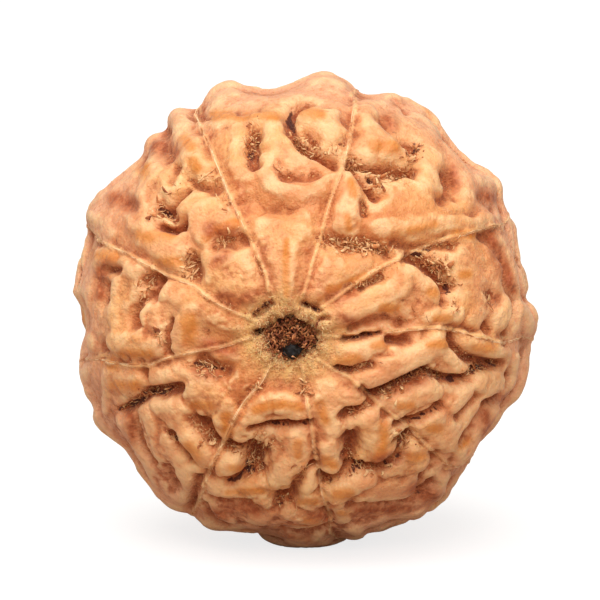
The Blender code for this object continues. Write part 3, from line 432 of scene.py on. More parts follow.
def bandsAlong(points, bands, profile, narrowing):
    # The height of all bands together: where they overlap they flow into each other
    total = np.zeros(len(points))
    for halfWidth, height, line in bands:
        margin = halfWidth * bandReach
        near = np.all((points > line.min(axis=0) - margin) & (points < line.max(axis=0) + margin), axis=1)
        reach = distanceToLine(points[near], line) / halfWidth * narrowing[near]
        total[near] += (profile(reach) * height) ** joinSharpness
    return total ** (1.0 / joinSharpness)


def pictureBands(lines, unit):
    # The traced lines on the flat map, widened as much as the map is there
    bands = []
    for halfWidth, height, trace in lines.values():
        line = flatMap(pictureToSphere(trace))
        offset = np.linalg.norm(np.subtract(trace[0], pictureCentre))
        widening = max(np.linalg.norm(line[0]) / max(offset, 1.0), 1.0)
        bands.append((halfWidth * widening, height * unit, roundedLine(line)))
    return bands


def aroundAxis(polar, turn):
    # A direction by its angle from the shown end and its turn about the seed's axis
    return np.stack([np.sin(polar) * np.cos(turn), -np.cos(polar), np.sin(polar) * np.sin(turn)], axis=-1)


def seamTurns():
    # The turn about the seed's axis at which each seam leaves the picture
    turns = {}
    for name, trace in seams.items():
        last = pictureToSphere(trace[-1:])[0]
        turns[name] = np.arctan2(last[2], last[0])
    return turns


def hiddenSeam(turn, polarStart):
    polar = np.linspace(polarStart, seamEnd, 9)
    return aroundAxis(polar, turn + 0.03 * np.sin(7.0 * polar + 3.0 * turn))


def hiddenPad(draw, polar, turn, lean, length):
    # A short thick line on the sphere, leaning from the face's cross direction
    reach = length / mapRadius / 2.0
    along = reach * cos(lean)
    down = reach * sin(lean)
    ends = [(polar - down, turn - along / sin(polar)), (polar + down, turn + along / sin(polar))]
    middle = (polar + draw.uniform(-0.02, 0.02), turn + draw.uniform(-0.02, 0.02))
    return [ends[0], middle, ends[1]]


def hiddenLines():
    # Rows of pads on each hidden face, some run together, with cracks and pits between the rows
    draw = np.random.default_rng(hiddenSeed)
    turns = sorted(seamTurns().values())
    knobs = []
    cracks = []
    for first, second in zip(turns, turns[1:] + [turns[0] + 2.0 * pi]):
        width = second - first
        last = None
        for polar in rowAngles:
            shift = draw.uniform(-0.04, 0.04)
            shares = (0.27, 0.73) if width * sin(polar) * mapRadius > 70.0 else (0.5,)
            for share in shares:
                place = (polar + shift + draw.uniform(-0.05, 0.05),
                         first + width * (share + draw.uniform(-0.06, 0.06)))
                lean = draw.uniform(-0.9, 0.9)
                knobs.append((draw.uniform(10.0, 15.0), draw.uniform(3.0, 4.8),
                              hiddenPad(draw, *place, lean, draw.uniform(10.0, 30.0))))
                if last is not None and draw.random() < 0.5:
                    knobs.append((draw.uniform(7.0, 10.0), draw.uniform(2.8, 4.0), [last, place]))
                last = place
            below = polar + shift + rowStep / 2.0
            bend = draw.uniform(-0.05, 0.05)
            start, end = sorted(draw.uniform(0.1, 0.9, 2))
            if end - start < 0.3:
                start, end = start * 0.5, end * 0.5 + 0.5
            cracks.append((draw.uniform(4.0, 7.0), draw.uniform(4.5, 8.0),
                           [(below - bend, first + width * start),
                            (below + bend, first + width * (start + end) / 2.0),
                            (below - bend, first + width * end)]))
            if draw.random() < 0.55:
                spot = (below, first + width * draw.uniform(0.25, 0.75))
                cracks.append((draw.uniform(7.0, 10.0), draw.uniform(5.0, 8.5),
                               hiddenPad(draw, *spot, draw.uniform(-1.5, 1.5), 12.0)))
        share = draw.uniform(0.42, 0.58)
        knobs.append((draw.uniform(8.0, 10.0), draw.uniform(3.0, 4.2),
                      [(radians(150.0), first + width * share), (radians(165.0), first + width * 0.5)]))
    return knobs, cracks


def sphereBands(lines, unit):
    # The hidden side's lines, in the same form on the sphere
    bands = []
    for halfWidth, height, places in lines:
        line = np.array([aroundAxis(polar, turn) for polar, turn in places])
        bands.append((halfWidth / mapRadius, height * unit, roundedLine(line)))
    return bands


def seamReach(points, directions):
    # Distance in pixels to the nearest seam, on the shown side and round the hidden one
    nearest = np.full(len(points), np.inf)
    turns = seamTurns()
    for name, trace in seams.items():
        spots = flatMap(pictureToSphere(trace))
        nearest = np.minimum(nearest, distanceToLine(points, roundedLine(spots)))
        last = pictureToSphere(trace[-1:])[0]
        start = acos(-last[1])
        hidden = distanceToLine(directions, hiddenSeam(turns[name], start)) * mapRadius
        nearest = np.minimum(nearest, hidden)
    return nearest


def smoothStep(low, high, value):
    share = np.clip((value - low) / (high - low), 0.0, 1.0)
    return share * share * (3.0 - 2.0 * share)


def fitOutline(directions, height):
    # Round the line of sight the ridges' tops reach the traced silhouette, and what lies lower stays lower
    trace = (np.array(outlineTrace + outlineTrace[:1], dtype=float) - pictureCentre) * (1.0, -1.0)
    trace = roundedLine(trace)[1:]
    angles = np.arctan2(trace[:, 1], trace[:, 0])
    order = np.argsort(angles)
    radii = np.hypot(trace[:, 0], trace[:, 1]) * pixelSize
    around = np.arctan2(directions @ sightUp, directions @ sightRight)
    radius = np.interp(around, angles[order], radii[order], period=2.0 * pi)
    beyond = np.abs(np.arccos(np.clip(directions @ sightAxis, -1.0, 1.0)) - outlineAngle)
    nearness = 1.0 - smoothStep(*outlineBand, beyond)
    top = ridgeTop + (radius - bodyRadius - ridgeTop) * nearness
    kept = 1.0 - outlineFilling * (1.0 - smoothStep(0.0, outlineBand[0], beyond))
    return top - (ridgeTop - height) * kept


def wander(directions, rate, amount):
    noise.seed_set(wanderSeed)
    return np.array([noise.noise_vector(Vector(place) * rate) for place in directions]) * amount


def unevenness(directions, rate, height):
    return np.array([noise.noise(Vector(place) * rate) for place in directions]) * height


def reliefLayers(directions):
    # The raised bands, the sunk bands and the distance to the seams, at each direction on the sphere
    drift = wander(directions, wanderRate, lineWander)
    points = flatMap(directions) + drift[:, :2]
    wandered = directions + drift / mapRadius
    sightAngle = np.arccos(np.clip(directions @ sightAxis, -1.0, 1.0))
    front = 1.0 - smoothStep(*frontFade, sightAngle)
    hidden = smoothStep(*hiddenFade, sightAngle)
    knobs, cracks = hiddenLines()
    narrowing = 1.0 + unevenness(directions, widthRate, 2.0 * widthVariation)
    raised = bandsAlong(points, pictureBands(ridges, ridgeUnit), padProfile, narrowing) * front
    sunk = bandsAlong(points, pictureBands(grooves, grooveUnit), grooveProfile, narrowing) * front
    hiddenRaised = bandsAlong(wandered, sphereBands(knobs, ridgeUnit), padProfile, narrowing) * hidden
    hiddenSunk = bandsAlong(wandered, sphereBands(cracks, grooveUnit), grooveProfile, narrowing) * hidden
    seamDrift = drift * seamWander
    reach = seamReach(flatMap(directions) + seamDrift[:, :2], directions + seamDrift / mapRadius)
    return np.maximum(raised, hiddenRaised), np.maximum(sunk, hiddenSunk), reach


def joinRelief(directions, raised, sunk, reach):
    furrow = seamFurrow[1] * np.exp(-(reach / seamFurrow[0]) ** 2)
    strand = seamStrand[1] * np.exp(-(reach / seamStrand[0]) ** 4)
    swell = unevenness(directions * tracedRadius, swellRate, swellHeight)
    return raised - sunk - furrow + strand + swell


def endHollow(directions):
    # Both ends dip gently round the hole, which opens there into a flared mouth
    fromShownEnd = np.arccos(np.clip(-directions[:, 1], -1.0, 1.0))
    fromFarEnd = pi - fromShownEnd
    shown = shownDip[1] * np.exp(-(fromShownEnd / shownDip[0]) ** 2)
    shown += shownMouth[1] * np.exp(-(fromShownEnd / shownMouth[0]) ** mouthSteepness)
    far = farDip[1] * np.exp(-(fromFarEnd / farDip[0]) ** 2)
    far += farMouth[1] * np.exp(-(fromFarEnd / farMouth[0]) ** mouthSteepness)
    return shown + far


def footRadius(directions):
    # One worn knob under the seed, wide enough to stand on, which falls away beside its flat
    flatAngle = restRadius / restLevel
    fromFoot = np.arccos(np.clip(-directions[:, 2], -1.0, 1.0))
    beside = np.maximum(fromFoot / flatAngle - 1.0, 0.0)
    fall = footFall * (1.0 + unevenness(directions, *footVariation))
    return restLevel / cos(flatAngle) - fall * beside ** footSteepness


def surfaceFrom(directions, height):
    # The surface's points from the seed's middle
    height = fitOutline(directions, height - endHollow(directions))
    radial = directions * (stretch + height[:, None])
    lift = footRadius(directions) / np.linalg.norm(radial, axis=1)
    return radial * np.maximum(lift, 1.0)[:, None]


seedMiddle = footMiddle + (0.0, 0.0, restLevel)


# Camera: the photograph's own view, 150 mm from the seed's middle
cameraSettings = {
    "distance": viewDistance,
    "pictureSize": 600.0,
    "sensor": 36.0,
}


def cameraPlace():
    # The seed's middle is a little right of and below the picture's centre
    half = cameraSettings["pictureSize"] / 2.0
    right = (half - pictureCentre[0]) * pixelSize
    up = (pictureCentre[1] - half) * pixelSize
    return viewBack * cameraSettings["distance"] + viewRight * right + viewUp * up


def makeCamera():
    camera = bpy.data.objects.new("camera", bpy.data.cameras.new("camera"))
    bpy.context.scene.collection.objects.link(camera)
    camera.location = cameraPlace() + seedMiddle
    turn = Matrix((viewRight, viewUp, viewBack)).transposed()
    camera.rotation_euler = turn.to_euler()
    camera.data.sensor_width = cameraSettings["sensor"]
    width = cameraSettings["pictureSize"] * pixelSize
    camera.data.lens = cameraSettings["sensor"] * cameraSettings["distance"] / width
    camera.data.clip_start = 0.01
    camera.data.clip_end = 50.0
    camera.data.dof.use_dof = False
    bpy.context.scene.camera = camera
    print("camera placed")


# Nodes: short helpers for the materials
def addNode(tree, kind, **values):
    node = tree.nodes.new(kind)
    for name, value in values.items():
        setattr(node, name, value)
    return node


def feed(tree, socket, value):
    # A socket takes either another socket or a plain value
    if isinstance(value, bpy.types.NodeSocket):
        tree.links.new(value, socket)
    else:
        socket.default_value = value


def mixColour(tree, share, first, second):
    node = addNode(tree, "ShaderNodeMix", data_type="RGBA")
    feed(tree, node.inputs[0], share)
    feed(tree, node.inputs[6], first)
    feed(tree, node.inputs[7], second)
    return node.outputs[2]


def calculate(tree, operation, first, second=0.0, clamp=False):
    node = addNode(tree, "ShaderNodeMath", operation=operation, use_clamp=clamp)
    feed(tree, node.inputs[0], first)
    feed(tree, node.inputs[1], second)
    return node.outputs[0]


def readMask(tree, name):
    return addNode(tree, "ShaderNodeAttribute", attribute_name=name).outputs["Fac"]


def newGroup(name, numbers, colours, output):
    # A node group with number inputs, colour inputs and one output
    group = bpy.data.node_groups.new(name, "ShaderNodeTree")
    for label, value in numbers.items():
        socket = group.interface.new_socket(label, in_out="INPUT", socket_type="NodeSocketFloat")
        socket.default_value = value
    for label, value in colours.items():
        socket = group.interface.new_socket(label, in_out="INPUT", socket_type="NodeSocketColor")
        socket.default_value = value
    kind = "NodeSocketColor" if output == "Color" else "NodeSocketFloat"
    group.interface.new_socket(output, in_out="OUTPUT", socket_type=kind)
    return group, addNode(group, "NodeGroupInput"), addNode(group, "NodeGroupOutput")


def makeMottleGroup():
    # Patches from 0 to 1 by noise in the object's own place, in waves per metre
    numbers = {"Scale": 400.0, "Detail": 4.0, "From": 0.35, "To": 0.65, "Stretch": 0.0}
    group, given, result = newGroup("mottle", numbers, {}, "Value")
    place = addNode(group, "ShaderNodeTexCoord").outputs["Object"]
    cloud = addNode(group, "ShaderNodeTexNoise")
    feed(group, cloud.inputs["Vector"], place)
    feed(group, cloud.inputs["Scale"], given.outputs["Scale"])
    feed(group, cloud.inputs["Detail"], given.outputs["Detail"])
    feed(group, cloud.inputs["Distortion"], given.outputs["Stretch"])
    spread = addNode(group, "ShaderNodeMapRange", interpolation_type="SMOOTHSTEP")
    feed(group, spread.inputs["Value"], cloud.outputs["Fac"])
    feed(group, spread.inputs["From Min"], given.outputs["From"])
    feed(group, spread.inputs["From Max"], given.outputs["To"])
    feed(group, result.inputs["Value"], spread.outputs["Result"])
    return group


def makeFibreTintGroup():
    # The dry fibres' colour, from red-brown roots to straw tips, by the tone painted on each
    colours = {"Dark": (0.20, 0.045, 0.015, 1.0), "Middle": (0.56, 0.20, 0.062, 1.0),
               "Light": (0.86, 0.52, 0.26, 1.0)}
    group, given, result = newGroup("fibreTint", {"Tone": 0.5, "Spread": 0.3}, colours, "Color")
    cloud = addNode(group, "ShaderNodeGroup", node_tree=mottleGroup)
    cloud.inputs["Scale"].default_value = 3000.0
    shift = calculate(group, "SUBTRACT", cloud.outputs["Value"], 0.5)
    shift = calculate(group, "MULTIPLY", shift, given.outputs["Spread"])
    tone = calculate(group, "ADD", given.outputs["Tone"], shift, clamp=True)
    lower = calculate(group, "MULTIPLY", tone, 2.0, clamp=True)
    upper = calculate(group, "SUBTRACT", calculate(group, "MULTIPLY", tone, 2.0), 1.0, clamp=True)
    warm = mixColour(group, lower, given.outputs["Dark"], given.outputs["Middle"])
    feed(group, result.inputs["Color"], mixColour(group, upper, warm, given.outputs["Light"]))
    return group


def mottle(tree, scale, low=0.35, high=0.65, detail=4.0, stretch=0.0):
    node = addNode(tree, "ShaderNodeGroup", node_tree=mottleGroup)
    node.inputs["Scale"].default_value = scale
    node.inputs["Detail"].default_value = detail
    node.inputs["From"].default_value = low
    node.inputs["To"].default_value = high
    node.inputs["Stretch"].default_value = stretch
    return node.outputs["Value"]


def newMaterial(name):
    material = bpy.data.materials.new(name)
    material.use_nodes = True
    return material, material.node_tree, material.node_tree.nodes["Principled BSDF"]


mottleGroup = makeMottleGroup()
fibreTintGroup = makeFibreTintGroup()


# The seed itself
seedSettings = {
    "edgeCuts": 23,           # into how many pieces each edge of the coarse ball is cut, less one
    "crowding": 0.42,         # draws the fine faces towards the shown end
    "lumpRate": 800.0,        # waves in a metre
    "lumpHeight": 0.000045,
    "dimpleRate": 1700.0,
    "dimpleHeight": 0.000034,
    "wrinkleRate": 3800.0,
    "wrinkleHeight": 0.000018,
    "calmLimb": 0.6,          # the share of the finest relief that is worn off towards the outline
    "creaseRate": 700.0,
    "creaseWidth": 0.045,     # in the noise's own units
    "creaseSpread": 330.0,
    "creaseDepth": 0.000055,
    "pitRoughness": 0.00011,
    "ringRate": 2500.0,
    "ringRoughness": 0.00022,
    "stainRoughness": (4400.0, 0.00007),   # waves in a metre, height
    "cleftRate": 2300.0,
    "cleftRoughness": 0.00042,
    "bulge": 0.00005,         # how far the knobs lean over the cracks beside them
}

seedColours = {
    "tan": (0.70, 0.280, 0.094, 1.0),
    "paleTan": (0.87, 0.460, 0.186, 1.0),
    "pink": (0.86, 0.405, 0.205, 1.0),
    # painted pale pink sheen towards the outline
    "limb": (0.88, 0.49, 0.31, 1.0),
    # golden rubbed skin, and painted warm shade on some knob undersides
    "goldenAndShade": (0.68, 0.225, 0.030, 1.0),
    # pale rubbed crests, partly a painted highlight
    "worn": (0.95, 0.65, 0.350, 1.0),
    # ruddy: the husk's red-brown, which also carries painted shade in the hollows and crevices; crevice: a darker
    # painted shade in the deepest of them
    "ruddy": (0.55, 0.140, 0.040, 1.0),
    "crevice": (0.30, 0.062, 0.017, 1.0),
    "redFibre": (0.42, 0.098, 0.026, 1.0),
    # painted shadow for the darkest holes and clefts
    "deepShadow": (0.095, 0.020, 0.011, 1.0),
    "plug": (0.13, 0.028, 0.012, 1.0),
    "straw": (0.92, 0.54, 0.24, 1.0),
    "dust": (0.84, 0.53, 0.20, 1.0),
    "speck": (0.34, 0.12, 0.04, 1.0),
}

# Golden rubbed faces on the knobs, with painted warm shade on some knobs' undersides: half width, then the line, in
# pixels of the picture
goldenAndShadePlaces = [
    (8, [(186, 140), (190, 146)]), (6, [(213, 116), (226, 115), (240, 117)]), (8, [(305, 112), (320, 115)]),
    (6, [(245, 117), (262, 114), (275, 118)]), (9, [(140, 166), (144, 170)]), (8, [(193, 162), (197, 168)]),
    (7, [(205, 238), (220, 228), (238, 222)]), (8, [(160, 262), (178, 261)]), (8, [(140, 236), (170, 234)]),
    (8, [(95, 256), (115, 256)]), (5, [(286, 240), (286, 295)]), (8, [(375, 146), (395, 146)]),
    (5, [(350, 180), (353, 195)]), (5, [(347, 216), (349, 228)]), (7, [(412, 230), (435, 224)]),
    (7, [(455, 234), (475, 234)]), (6, [(330, 290), (348, 284), (365, 277)]), (7, [(430, 292), (434, 292)]),
    (7, [(463, 274), (468, 274)]), (12, [(188, 320), (190, 340)]), (9, [(107, 360), (116, 366)]),
    (7, [(122, 354), (150, 354)]), (8, [(112, 386), (135, 386)]), (7, [(193, 406), (210, 406)]),
    (8, [(225, 417), (227, 433)]), (9, [(188, 446), (196, 456)]), (7, [(231, 468), (240, 469)]),
    (6, [(255, 410), (278, 403), (300, 407)]), (6, [(374, 346), (386, 344)]), (8, [(337, 360), (358, 358)]),
    (6, [(430, 345), (445, 343)]), (5, [(435, 319), (450, 318)]), (7, [(475, 347), (495, 347)]),
    (6, [(400, 406), (412, 406)]), (7, [(430, 429), (440, 429)]), (9, [(383, 425), (385, 442), (380, 460)]),
    (7, [(411, 457), (424, 457)]), (8, [(326, 460), (334, 466)]), (7, [(336, 494), (349, 494)]),
    (5, [(340, 514), (347, 514)]), (5, [(300, 502), (314, 502)]), (5, [(306, 522), (316, 522)]),
    (7, [(320, 405), (326, 420)]), (7, [(460, 448), (466, 440)]), (7, [(384, 308), (396, 308)]),
    (6, [(298, 443), (298, 456)]), (5, [(228, 492), (262, 491)]), (6, [(300, 304), (332, 298)]),
]

# Where the skin is torn into reddish flakes and fibres, in the same form
fibrePlaces = [
    (9, [(253, 125), (251, 157)]), (8, [(295, 138), (308, 155)]), (9, [(312, 148), (345, 150)]),
    (4, [(282, 171), (310, 174)]), (7, [(186, 172), (200, 180), (218, 175)]), (3, [(214, 208), (237, 210)]),
    (5, [(222, 200), (232, 203)]), (6, [(218, 243), (240, 232)]), (9, [(187, 253), (192, 277)]),
    (5, [(182, 185), (160, 205)]), (6, [(152, 212), (156, 220)]), (7, [(165, 218), (178, 222)]),
    (9, [(150, 270), (141, 298)]), (4, [(205, 296), (232, 307)]), (4, [(256, 250), (262, 272)]),
    (9, [(345, 160), (357, 172)]), (10, [(362, 178), (375, 184)]), (6, [(390, 178), (408, 182)]),
    (10, [(398, 168), (418, 148)]), (4, [(361, 203), (365, 211)]), (9, [(325, 243), (352, 243), (393, 252)]),
    (11, [(422, 258), (440, 268), (452, 282)]), (5, [(440, 244), (458, 244)]), (5, [(352, 288), (383, 275)]),
    (6, [(190, 362), (225, 368)]), (5, [(195, 372), (222, 378)]), (6, [(137, 393), (160, 392), (173, 386)]),
    (5, [(120, 408), (143, 400)]), (7, [(190, 422), (205, 432), (215, 447)]), (4, [(168, 433), (178, 440)]),
    (11, [(232, 447), (255, 455), (255, 470)]), (9, [(258, 435), (280, 442)]), (6, [(278, 501), (295, 502)]),
    (4, [(400, 318), (425, 315)]), (7, [(380, 392), (405, 382), (412, 373), (435, 376)]),
    (8, [(418, 375), (436, 368)]), (4, [(340, 370), (375, 360)]), (6, [(465, 372), (492, 364)]),
    (6, [(458, 350), (468, 362)]), (6, [(345, 448), (362, 463), (380, 470), (395, 462), (405, 450)]),
    (8, [(395, 434), (410, 440)]), (5, [(320, 485), (345, 475), (365, 462)]), (5, [(345, 418), (372, 402)]),
    (5, [(162, 322), (163, 352)]), (6, [(248, 390), (262, 384)]), (5, [(305, 380), (305, 396)]),
    (5, [(486, 292), (488, 312)]), (6, [(455, 300), (456, 312)]), (5, [(299, 460), (301, 478)]),
    (5, [(250, 315), (269, 301)]), (4, [(304, 302), (320, 312)]), (4, [(322, 320), (328, 322)]),
]

# Painted shadow in the darkest holes and clefts
deepShadowPlaces = [
    (4, [(252, 124), (252, 130)]), (4, [(251, 152), (251, 158)]),
    (5, [(297, 100), (288, 110), (290, 128), (300, 132)]), (4, [(368, 162), (380, 158), (392, 160)]),
    (4, [(362, 175), (375, 188)]), (5, [(400, 160), (416, 150)]), (3, [(395, 132), (412, 140), (420, 150)]),
    (3, [(404, 233), (407, 235)]), (4, [(415, 253), (430, 253)]), (3, [(445, 287), (449, 299)]),
    (2.4, [(253, 313), (258, 309)]), (3, [(262, 306), (267, 303)]), (2, [(306, 303), (309, 305)]),
    (2.4, [(314, 308), (318, 310)]), (2, [(350, 338), (362, 337)]), (1.5, [(368, 334), (380, 331)]),
    (4, [(406, 378), (416, 372)]), (4, [(450, 378), (451, 380)]),
    (3, [(465, 373), (495, 362)]), (5, [(350, 452), (362, 463)]), (5, [(385, 466), (402, 455)]),
    (3, [(322, 484), (345, 475), (362, 463)]), (6, [(240, 458), (250, 469)]), (3, [(228, 482), (250, 476)]),
    (4, [(280, 503), (290, 505)]), (3, [(137, 393), (160, 392), (172, 387)]), (3, [(120, 408), (143, 400)]),
    (5, [(160, 208), (172, 218)]), (4, [(168, 436), (178, 438)]), (7, [(418, 492), (434, 497)]),
    (3, [(502, 399), (510, 399)]), (2, [(264, 422), (306, 425)]), (2, [(410, 422), (438, 405)]),
    (3, [(195, 364), (222, 369)]), (2, [(490, 325), (491, 327)]), (9, [(288, 350), (295, 351)]),
    (3, [(272, 324), (294, 320)]),
]

# Painted soft shade in the hollows, without fibres
shadePlaces = [
    (12, [(150, 140), (170, 152)]), (9, [(115, 200), (132, 204)]), (8, [(103, 266), (100, 295)]),
    (8, [(388, 120), (392, 126)]), (6, [(397, 102), (408, 100)]), (8, [(452, 172), (453, 186)]),
    (7, [(482, 196), (498, 198)]), (7, [(488, 235), (505, 270), (512, 290)]), (5, [(492, 300), (498, 298)]),
    (11, [(418, 490), (432, 498)]), (6, [(358, 512), (408, 508)]), (6, [(312, 516), (324, 516)]),
    (8, [(208, 512), (222, 516)]), (7, [(228, 508), (256, 510)]), (5, [(284, 538), (308, 538)]),
    (7, [(131, 412), (132, 438)]), (7, [(503, 398), (510, 400)]), (9, [(485, 415), (490, 440)]),
    (9, [(245, 300), (262, 296)]), (8, [(300, 296), (316, 302)]), (9, [(210, 230), (232, 236)]),
    (10, [(200, 372), (222, 372)]), (9, [(395, 388), (420, 378)]), (10, [(380, 464), (398, 458)]),
    (10, [(222, 298), (236, 304)]), (9, [(330, 300), (352, 292)]), (8, [(340, 318), (352, 322)]),
    (7, [(216, 262), (226, 254)]), (9, [(205, 345), (235, 350)]), (8, [(262, 380), (290, 384)]),
]


# Reddish granular stains on the ground between the knobs, which also carry painted shade
stainAndShadePlaces = [
    (12, [(250, 438), (285, 440)]), (12, [(325, 440), (352, 458)]), (9, [(303, 396), (312, 432)]),
    (9, [(276, 420), (300, 424)]), (12, [(185, 418), (205, 436)]), (10, [(268, 474), (302, 480)]),
    (10, [(212, 500), (280, 506)]), (9, [(345, 424), (372, 430)]), (8, [(400, 420), (440, 408)]),
    (8, [(395, 386), (440, 373)]), (8, [(455, 370), (500, 362)]), (10, [(225, 385), (262, 392)]),
    (9, [(170, 395), (215, 402)]), (9, [(140, 330), (165, 352)]), (8, [(130, 300), (150, 325)]),
    (8, [(205, 312), (232, 326)]), (8, [(212, 262), (240, 276)]), (8, [(236, 186), (246, 214)]),
    (10, [(330, 236), (395, 246)]), (10, [(352, 176), (400, 186)]), (9, [(232, 168), (252, 172)]),
    (9, [(340, 470), (400, 476)]), (8, [(360, 410), (375, 420)]), (10, [(470, 386), (500, 380)]),
    (9, [(300, 520), (360, 500)]), (10, [(405, 470), (440, 462)]), (9, [(150, 440), (170, 460)]),
    (7, [(308, 250), (318, 290)]), (7, [(262, 240), (272, 290)]), (8, [(420, 300), (452, 306)]),
]

# Ragged clefts above and beside the hole
cleftPlaces = [
    (6, [(250, 315), (269, 301)]), (6, [(304, 302), (320, 312)]), (4, [(348, 338), (380, 331)]),
]


holeCentre = (288.0, 337.0)
ringSquash = 0.85             # how much lower than wide the rings of crumbs round the hole are

# The torn rim of the hole's mouth, in pixels of the picture
mouthSettings = {
    "middle": (289.0, 338.5),
    "halfSize": (27.5, 21.5),
    "wideFray": (1500.0, 0.16),
    "fineFray": (4000.0, 0.12),
    "notches": [(4.5, [(256, 334), (270, 333)]), (3.5, [(303, 354), (309, 350)])],
    "notchDepth": 0.7,
}


def pictureOf(points):
    # Where the picture shows each point, given from the seed's middle
    offset = cameraPlace()
    depth = cameraSettings["distance"] - points @ viewBack
    scale = cameraSettings["distance"] / depth / pixelSize
    half = cameraSettings["pictureSize"] / 2.0
    across = half + (points @ viewRight - offset @ viewRight) * scale
    down = half - (points @ viewUp - offset @ viewUp) * scale
    return np.stack([across, down], axis=1)


def markPlaces(pixels, shown, places, frays, edge):
    # From 1 on the marked lines to 0 beside them, on the shown side only
    mask = np.zeros(len(pixels))
    for halfWidth, line in places:
        line = roundedLine(np.array(line, dtype=float))
        reach = distanceToLine(pixels, line) / halfWidth + frays
        mask = np.maximum(mask, 1.0 - smoothStep(*edge, reach))
    return mask * shown


def mouthShape(directions):
    # From 1 in the torn opening of the shown mouth to 0 outside it
    places = directions * tracedRadius
    pixels = pictureOf(directions * bodyHalfLength)
    frays = unevenness(places, *mouthSettings["wideFray"]) + unevenness(places, *mouthSettings["fineFray"])
    away = (pixels - mouthSettings["middle"]) / mouthSettings["halfSize"]
    opening = np.exp(-(np.hypot(away[:, 0], away[:, 1]) * (1.0 + frays)) ** mouthSteepness)
    for halfWidth, line in mouthSettings["notches"]:
        reach = distanceToLine(pixels, np.array(line, dtype=float)) / halfWidth
        opening = np.maximum(opening, mouthSettings["notchDepth"] * np.exp(-(reach * (1.0 + frays)) ** 4))
    return opening * (directions[:, 1] < 0.0)


def tearMouth(directions):
    # The change in height from the smooth round mouth to the torn one
    fromPole = np.arccos(np.clip(-directions[:, 1], -1.0, 1.0))
    smooth = np.exp(-(fromPole / shownMouth[0]) ** mouthSteepness)
    return shownMouth[1] * (smooth - mouthShape(directions))


def blurred(values, edges, rounds):
    # Each point takes the mean of its neighbours, again and again
    count = len(values)
    first, second = edges[:, 0], edges[:, 1]
    degree = np.bincount(first, minlength=count) + np.bincount(second, minlength=count)
    for _ in range(rounds):
        total = np.bincount(first, weights=values[second], minlength=count)
        total += np.bincount(second, weights=values[first], minlength=count)
        values = total / degree
    return values


def fineBall():
    ball = bmesh.new()
    bmesh.ops.create_icosphere(ball, subdivisions=3, radius=1.0)
    bmesh.ops.subdivide_edges(ball, edges=ball.edges[:], cuts=seedSettings["edgeCuts"], use_grid_fill=True)
    mesh = bpy.data.meshes.new("seedSkin")
    ball.to_mesh(mesh)
    ball.free()
    return mesh


def meshPoints(mesh):
    flat = np.empty(len(mesh.vertices) * 3, dtype=np.float32)
    mesh.vertices.foreach_get("co", flat)
    return flat.reshape(-1, 3).astype(float)


def meshNormals(mesh):
    flat = np.empty(len(mesh.vertices) * 3, dtype=np.float32)
    mesh.vertex_normals.foreach_get("vector", flat)
    return flat.reshape(-1, 3).astype(float)


def meshEdges(mesh):
    flat = np.empty(len(mesh.edges) * 2, dtype=np.int32)
    mesh.edges.foreach_get("vertices", flat)
    return flat.reshape(-1, 2)


def writePoints(mesh, points):
    mesh.vertices.foreach_set("co", points.astype(np.float32).ravel())
    mesh.update()


def paint(mesh, name, values):
    layer = mesh.attributes.new(name, "FLOAT", "POINT")
    layer.data.foreach_set("value", np.clip(values, 0.0, 1.0).astype(np.float32))


def crowdPoints(places):
    places = places / np.linalg.norm(places, axis=1)[:, None]
    polar = np.arccos(np.clip(-places[:, 1], -1.0, 1.0))
    turn = np.arctan2(places[:, 2], places[:, 0])
    return aroundAxis(polar - seedSettings["crowding"] * np.sin(polar), turn)


def seedMasks(directions, points, raised, sunk, reach):
    pixels = pictureOf(points)
    sightAngle = np.arccos(np.clip(directions @ sightAxis, -1.0, 1.0))
    shown = 1.0 - smoothStep(radians(74.0), radians(88.0), sightAngle)
    places = directions * tracedRadius
    frays = unevenness(places, 1500.0, 0.55) + unevenness(places, 4200.0, 0.45)
    softFrays = unevenness(places, 1200.0, 0.35)
    spots = unevenness(places, 900.0, 1.0)
    hiddenGold = (1.0 - shown) * smoothStep(0.0, 0.35, spots) * smoothStep(0.00020, 0.00040, raised)
    hiddenPits = (1.0 - shown) * smoothStep(0.00015, 0.00060, sunk)
    fromHole = np.hypot(pixels[:, 0] - holeCentre[0], (pixels[:, 1] - holeCentre[1]) * 1.15)
    masks = {}
    # Golden faces: rubbed skin on the knobs, partly painted warm shade on their undersides
    masks["goldenAndShade"] = np.maximum(markPlaces(pixels, shown, goldenAndShadePlaces, softFrays, (0.1, 1.7)), hiddenGold)
    masks["fibre"] = np.maximum(markPlaces(pixels, shown, fibrePlaces, frays, (0.2, 1.3)), hiddenPits)
    # Painted shadow: the darkest holes and clefts, and the hidden side's deepest pits
    masks["deepShadow"] = np.maximum(markPlaces(pixels, shown, deepShadowPlaces, frays, (0.0, 1.3)),
                               hiddenPits * smoothStep(0.00045, 0.00085, sunk))
    masks["shade"] = markPlaces(pixels, shown, shadePlaces, softFrays, (0.0, 1.8))
    masks["strand"] = np.exp(-(reach / 1.7) ** 4)
    masks["seamSide"] = np.exp(-(reach / 9.0) ** 2)
    masks["ring"] = (1.0 - smoothStep(30.0, 66.0, fromHole + 12.0 * frays)) * shown
    masks["crust"] = smoothStep(18.0, 24.0, fromHole) * (1.0 - smoothStep(28.0, 50.0, fromHole)) * shown
    masks["plug"] = smoothStep(0.30, 0.62, mouthShape(directions))
    between = 1.0 - smoothStep(0.00006, 0.00026, raised)
    # Painted shade: stronger towards the bottom of the view and only between the knobs, joined by the marked reddish
    # stains
    masks["stainAndShade"] = (0.25 + 0.75 * smoothStep(350.0, 440.0, pixels[:, 1])) * shown * between
    marked = markPlaces(pixels, shown, stainAndShadePlaces, softFrays, (0.0, 1.9))
    masks["stainAndShade"] = np.maximum(masks["stainAndShade"], 0.95 * marked)
    masks["cleft"] = markPlaces(pixels, shown, cleftPlaces, softFrays, (0.0, 1.6))
    # Painted sheen: pale pink towards the outline as the view sees it; the same mask also calms the finest relief
    # there
    masks["limb"] = smoothStep(radians(48.0), radians(78.0), sightAngle)
    return masks


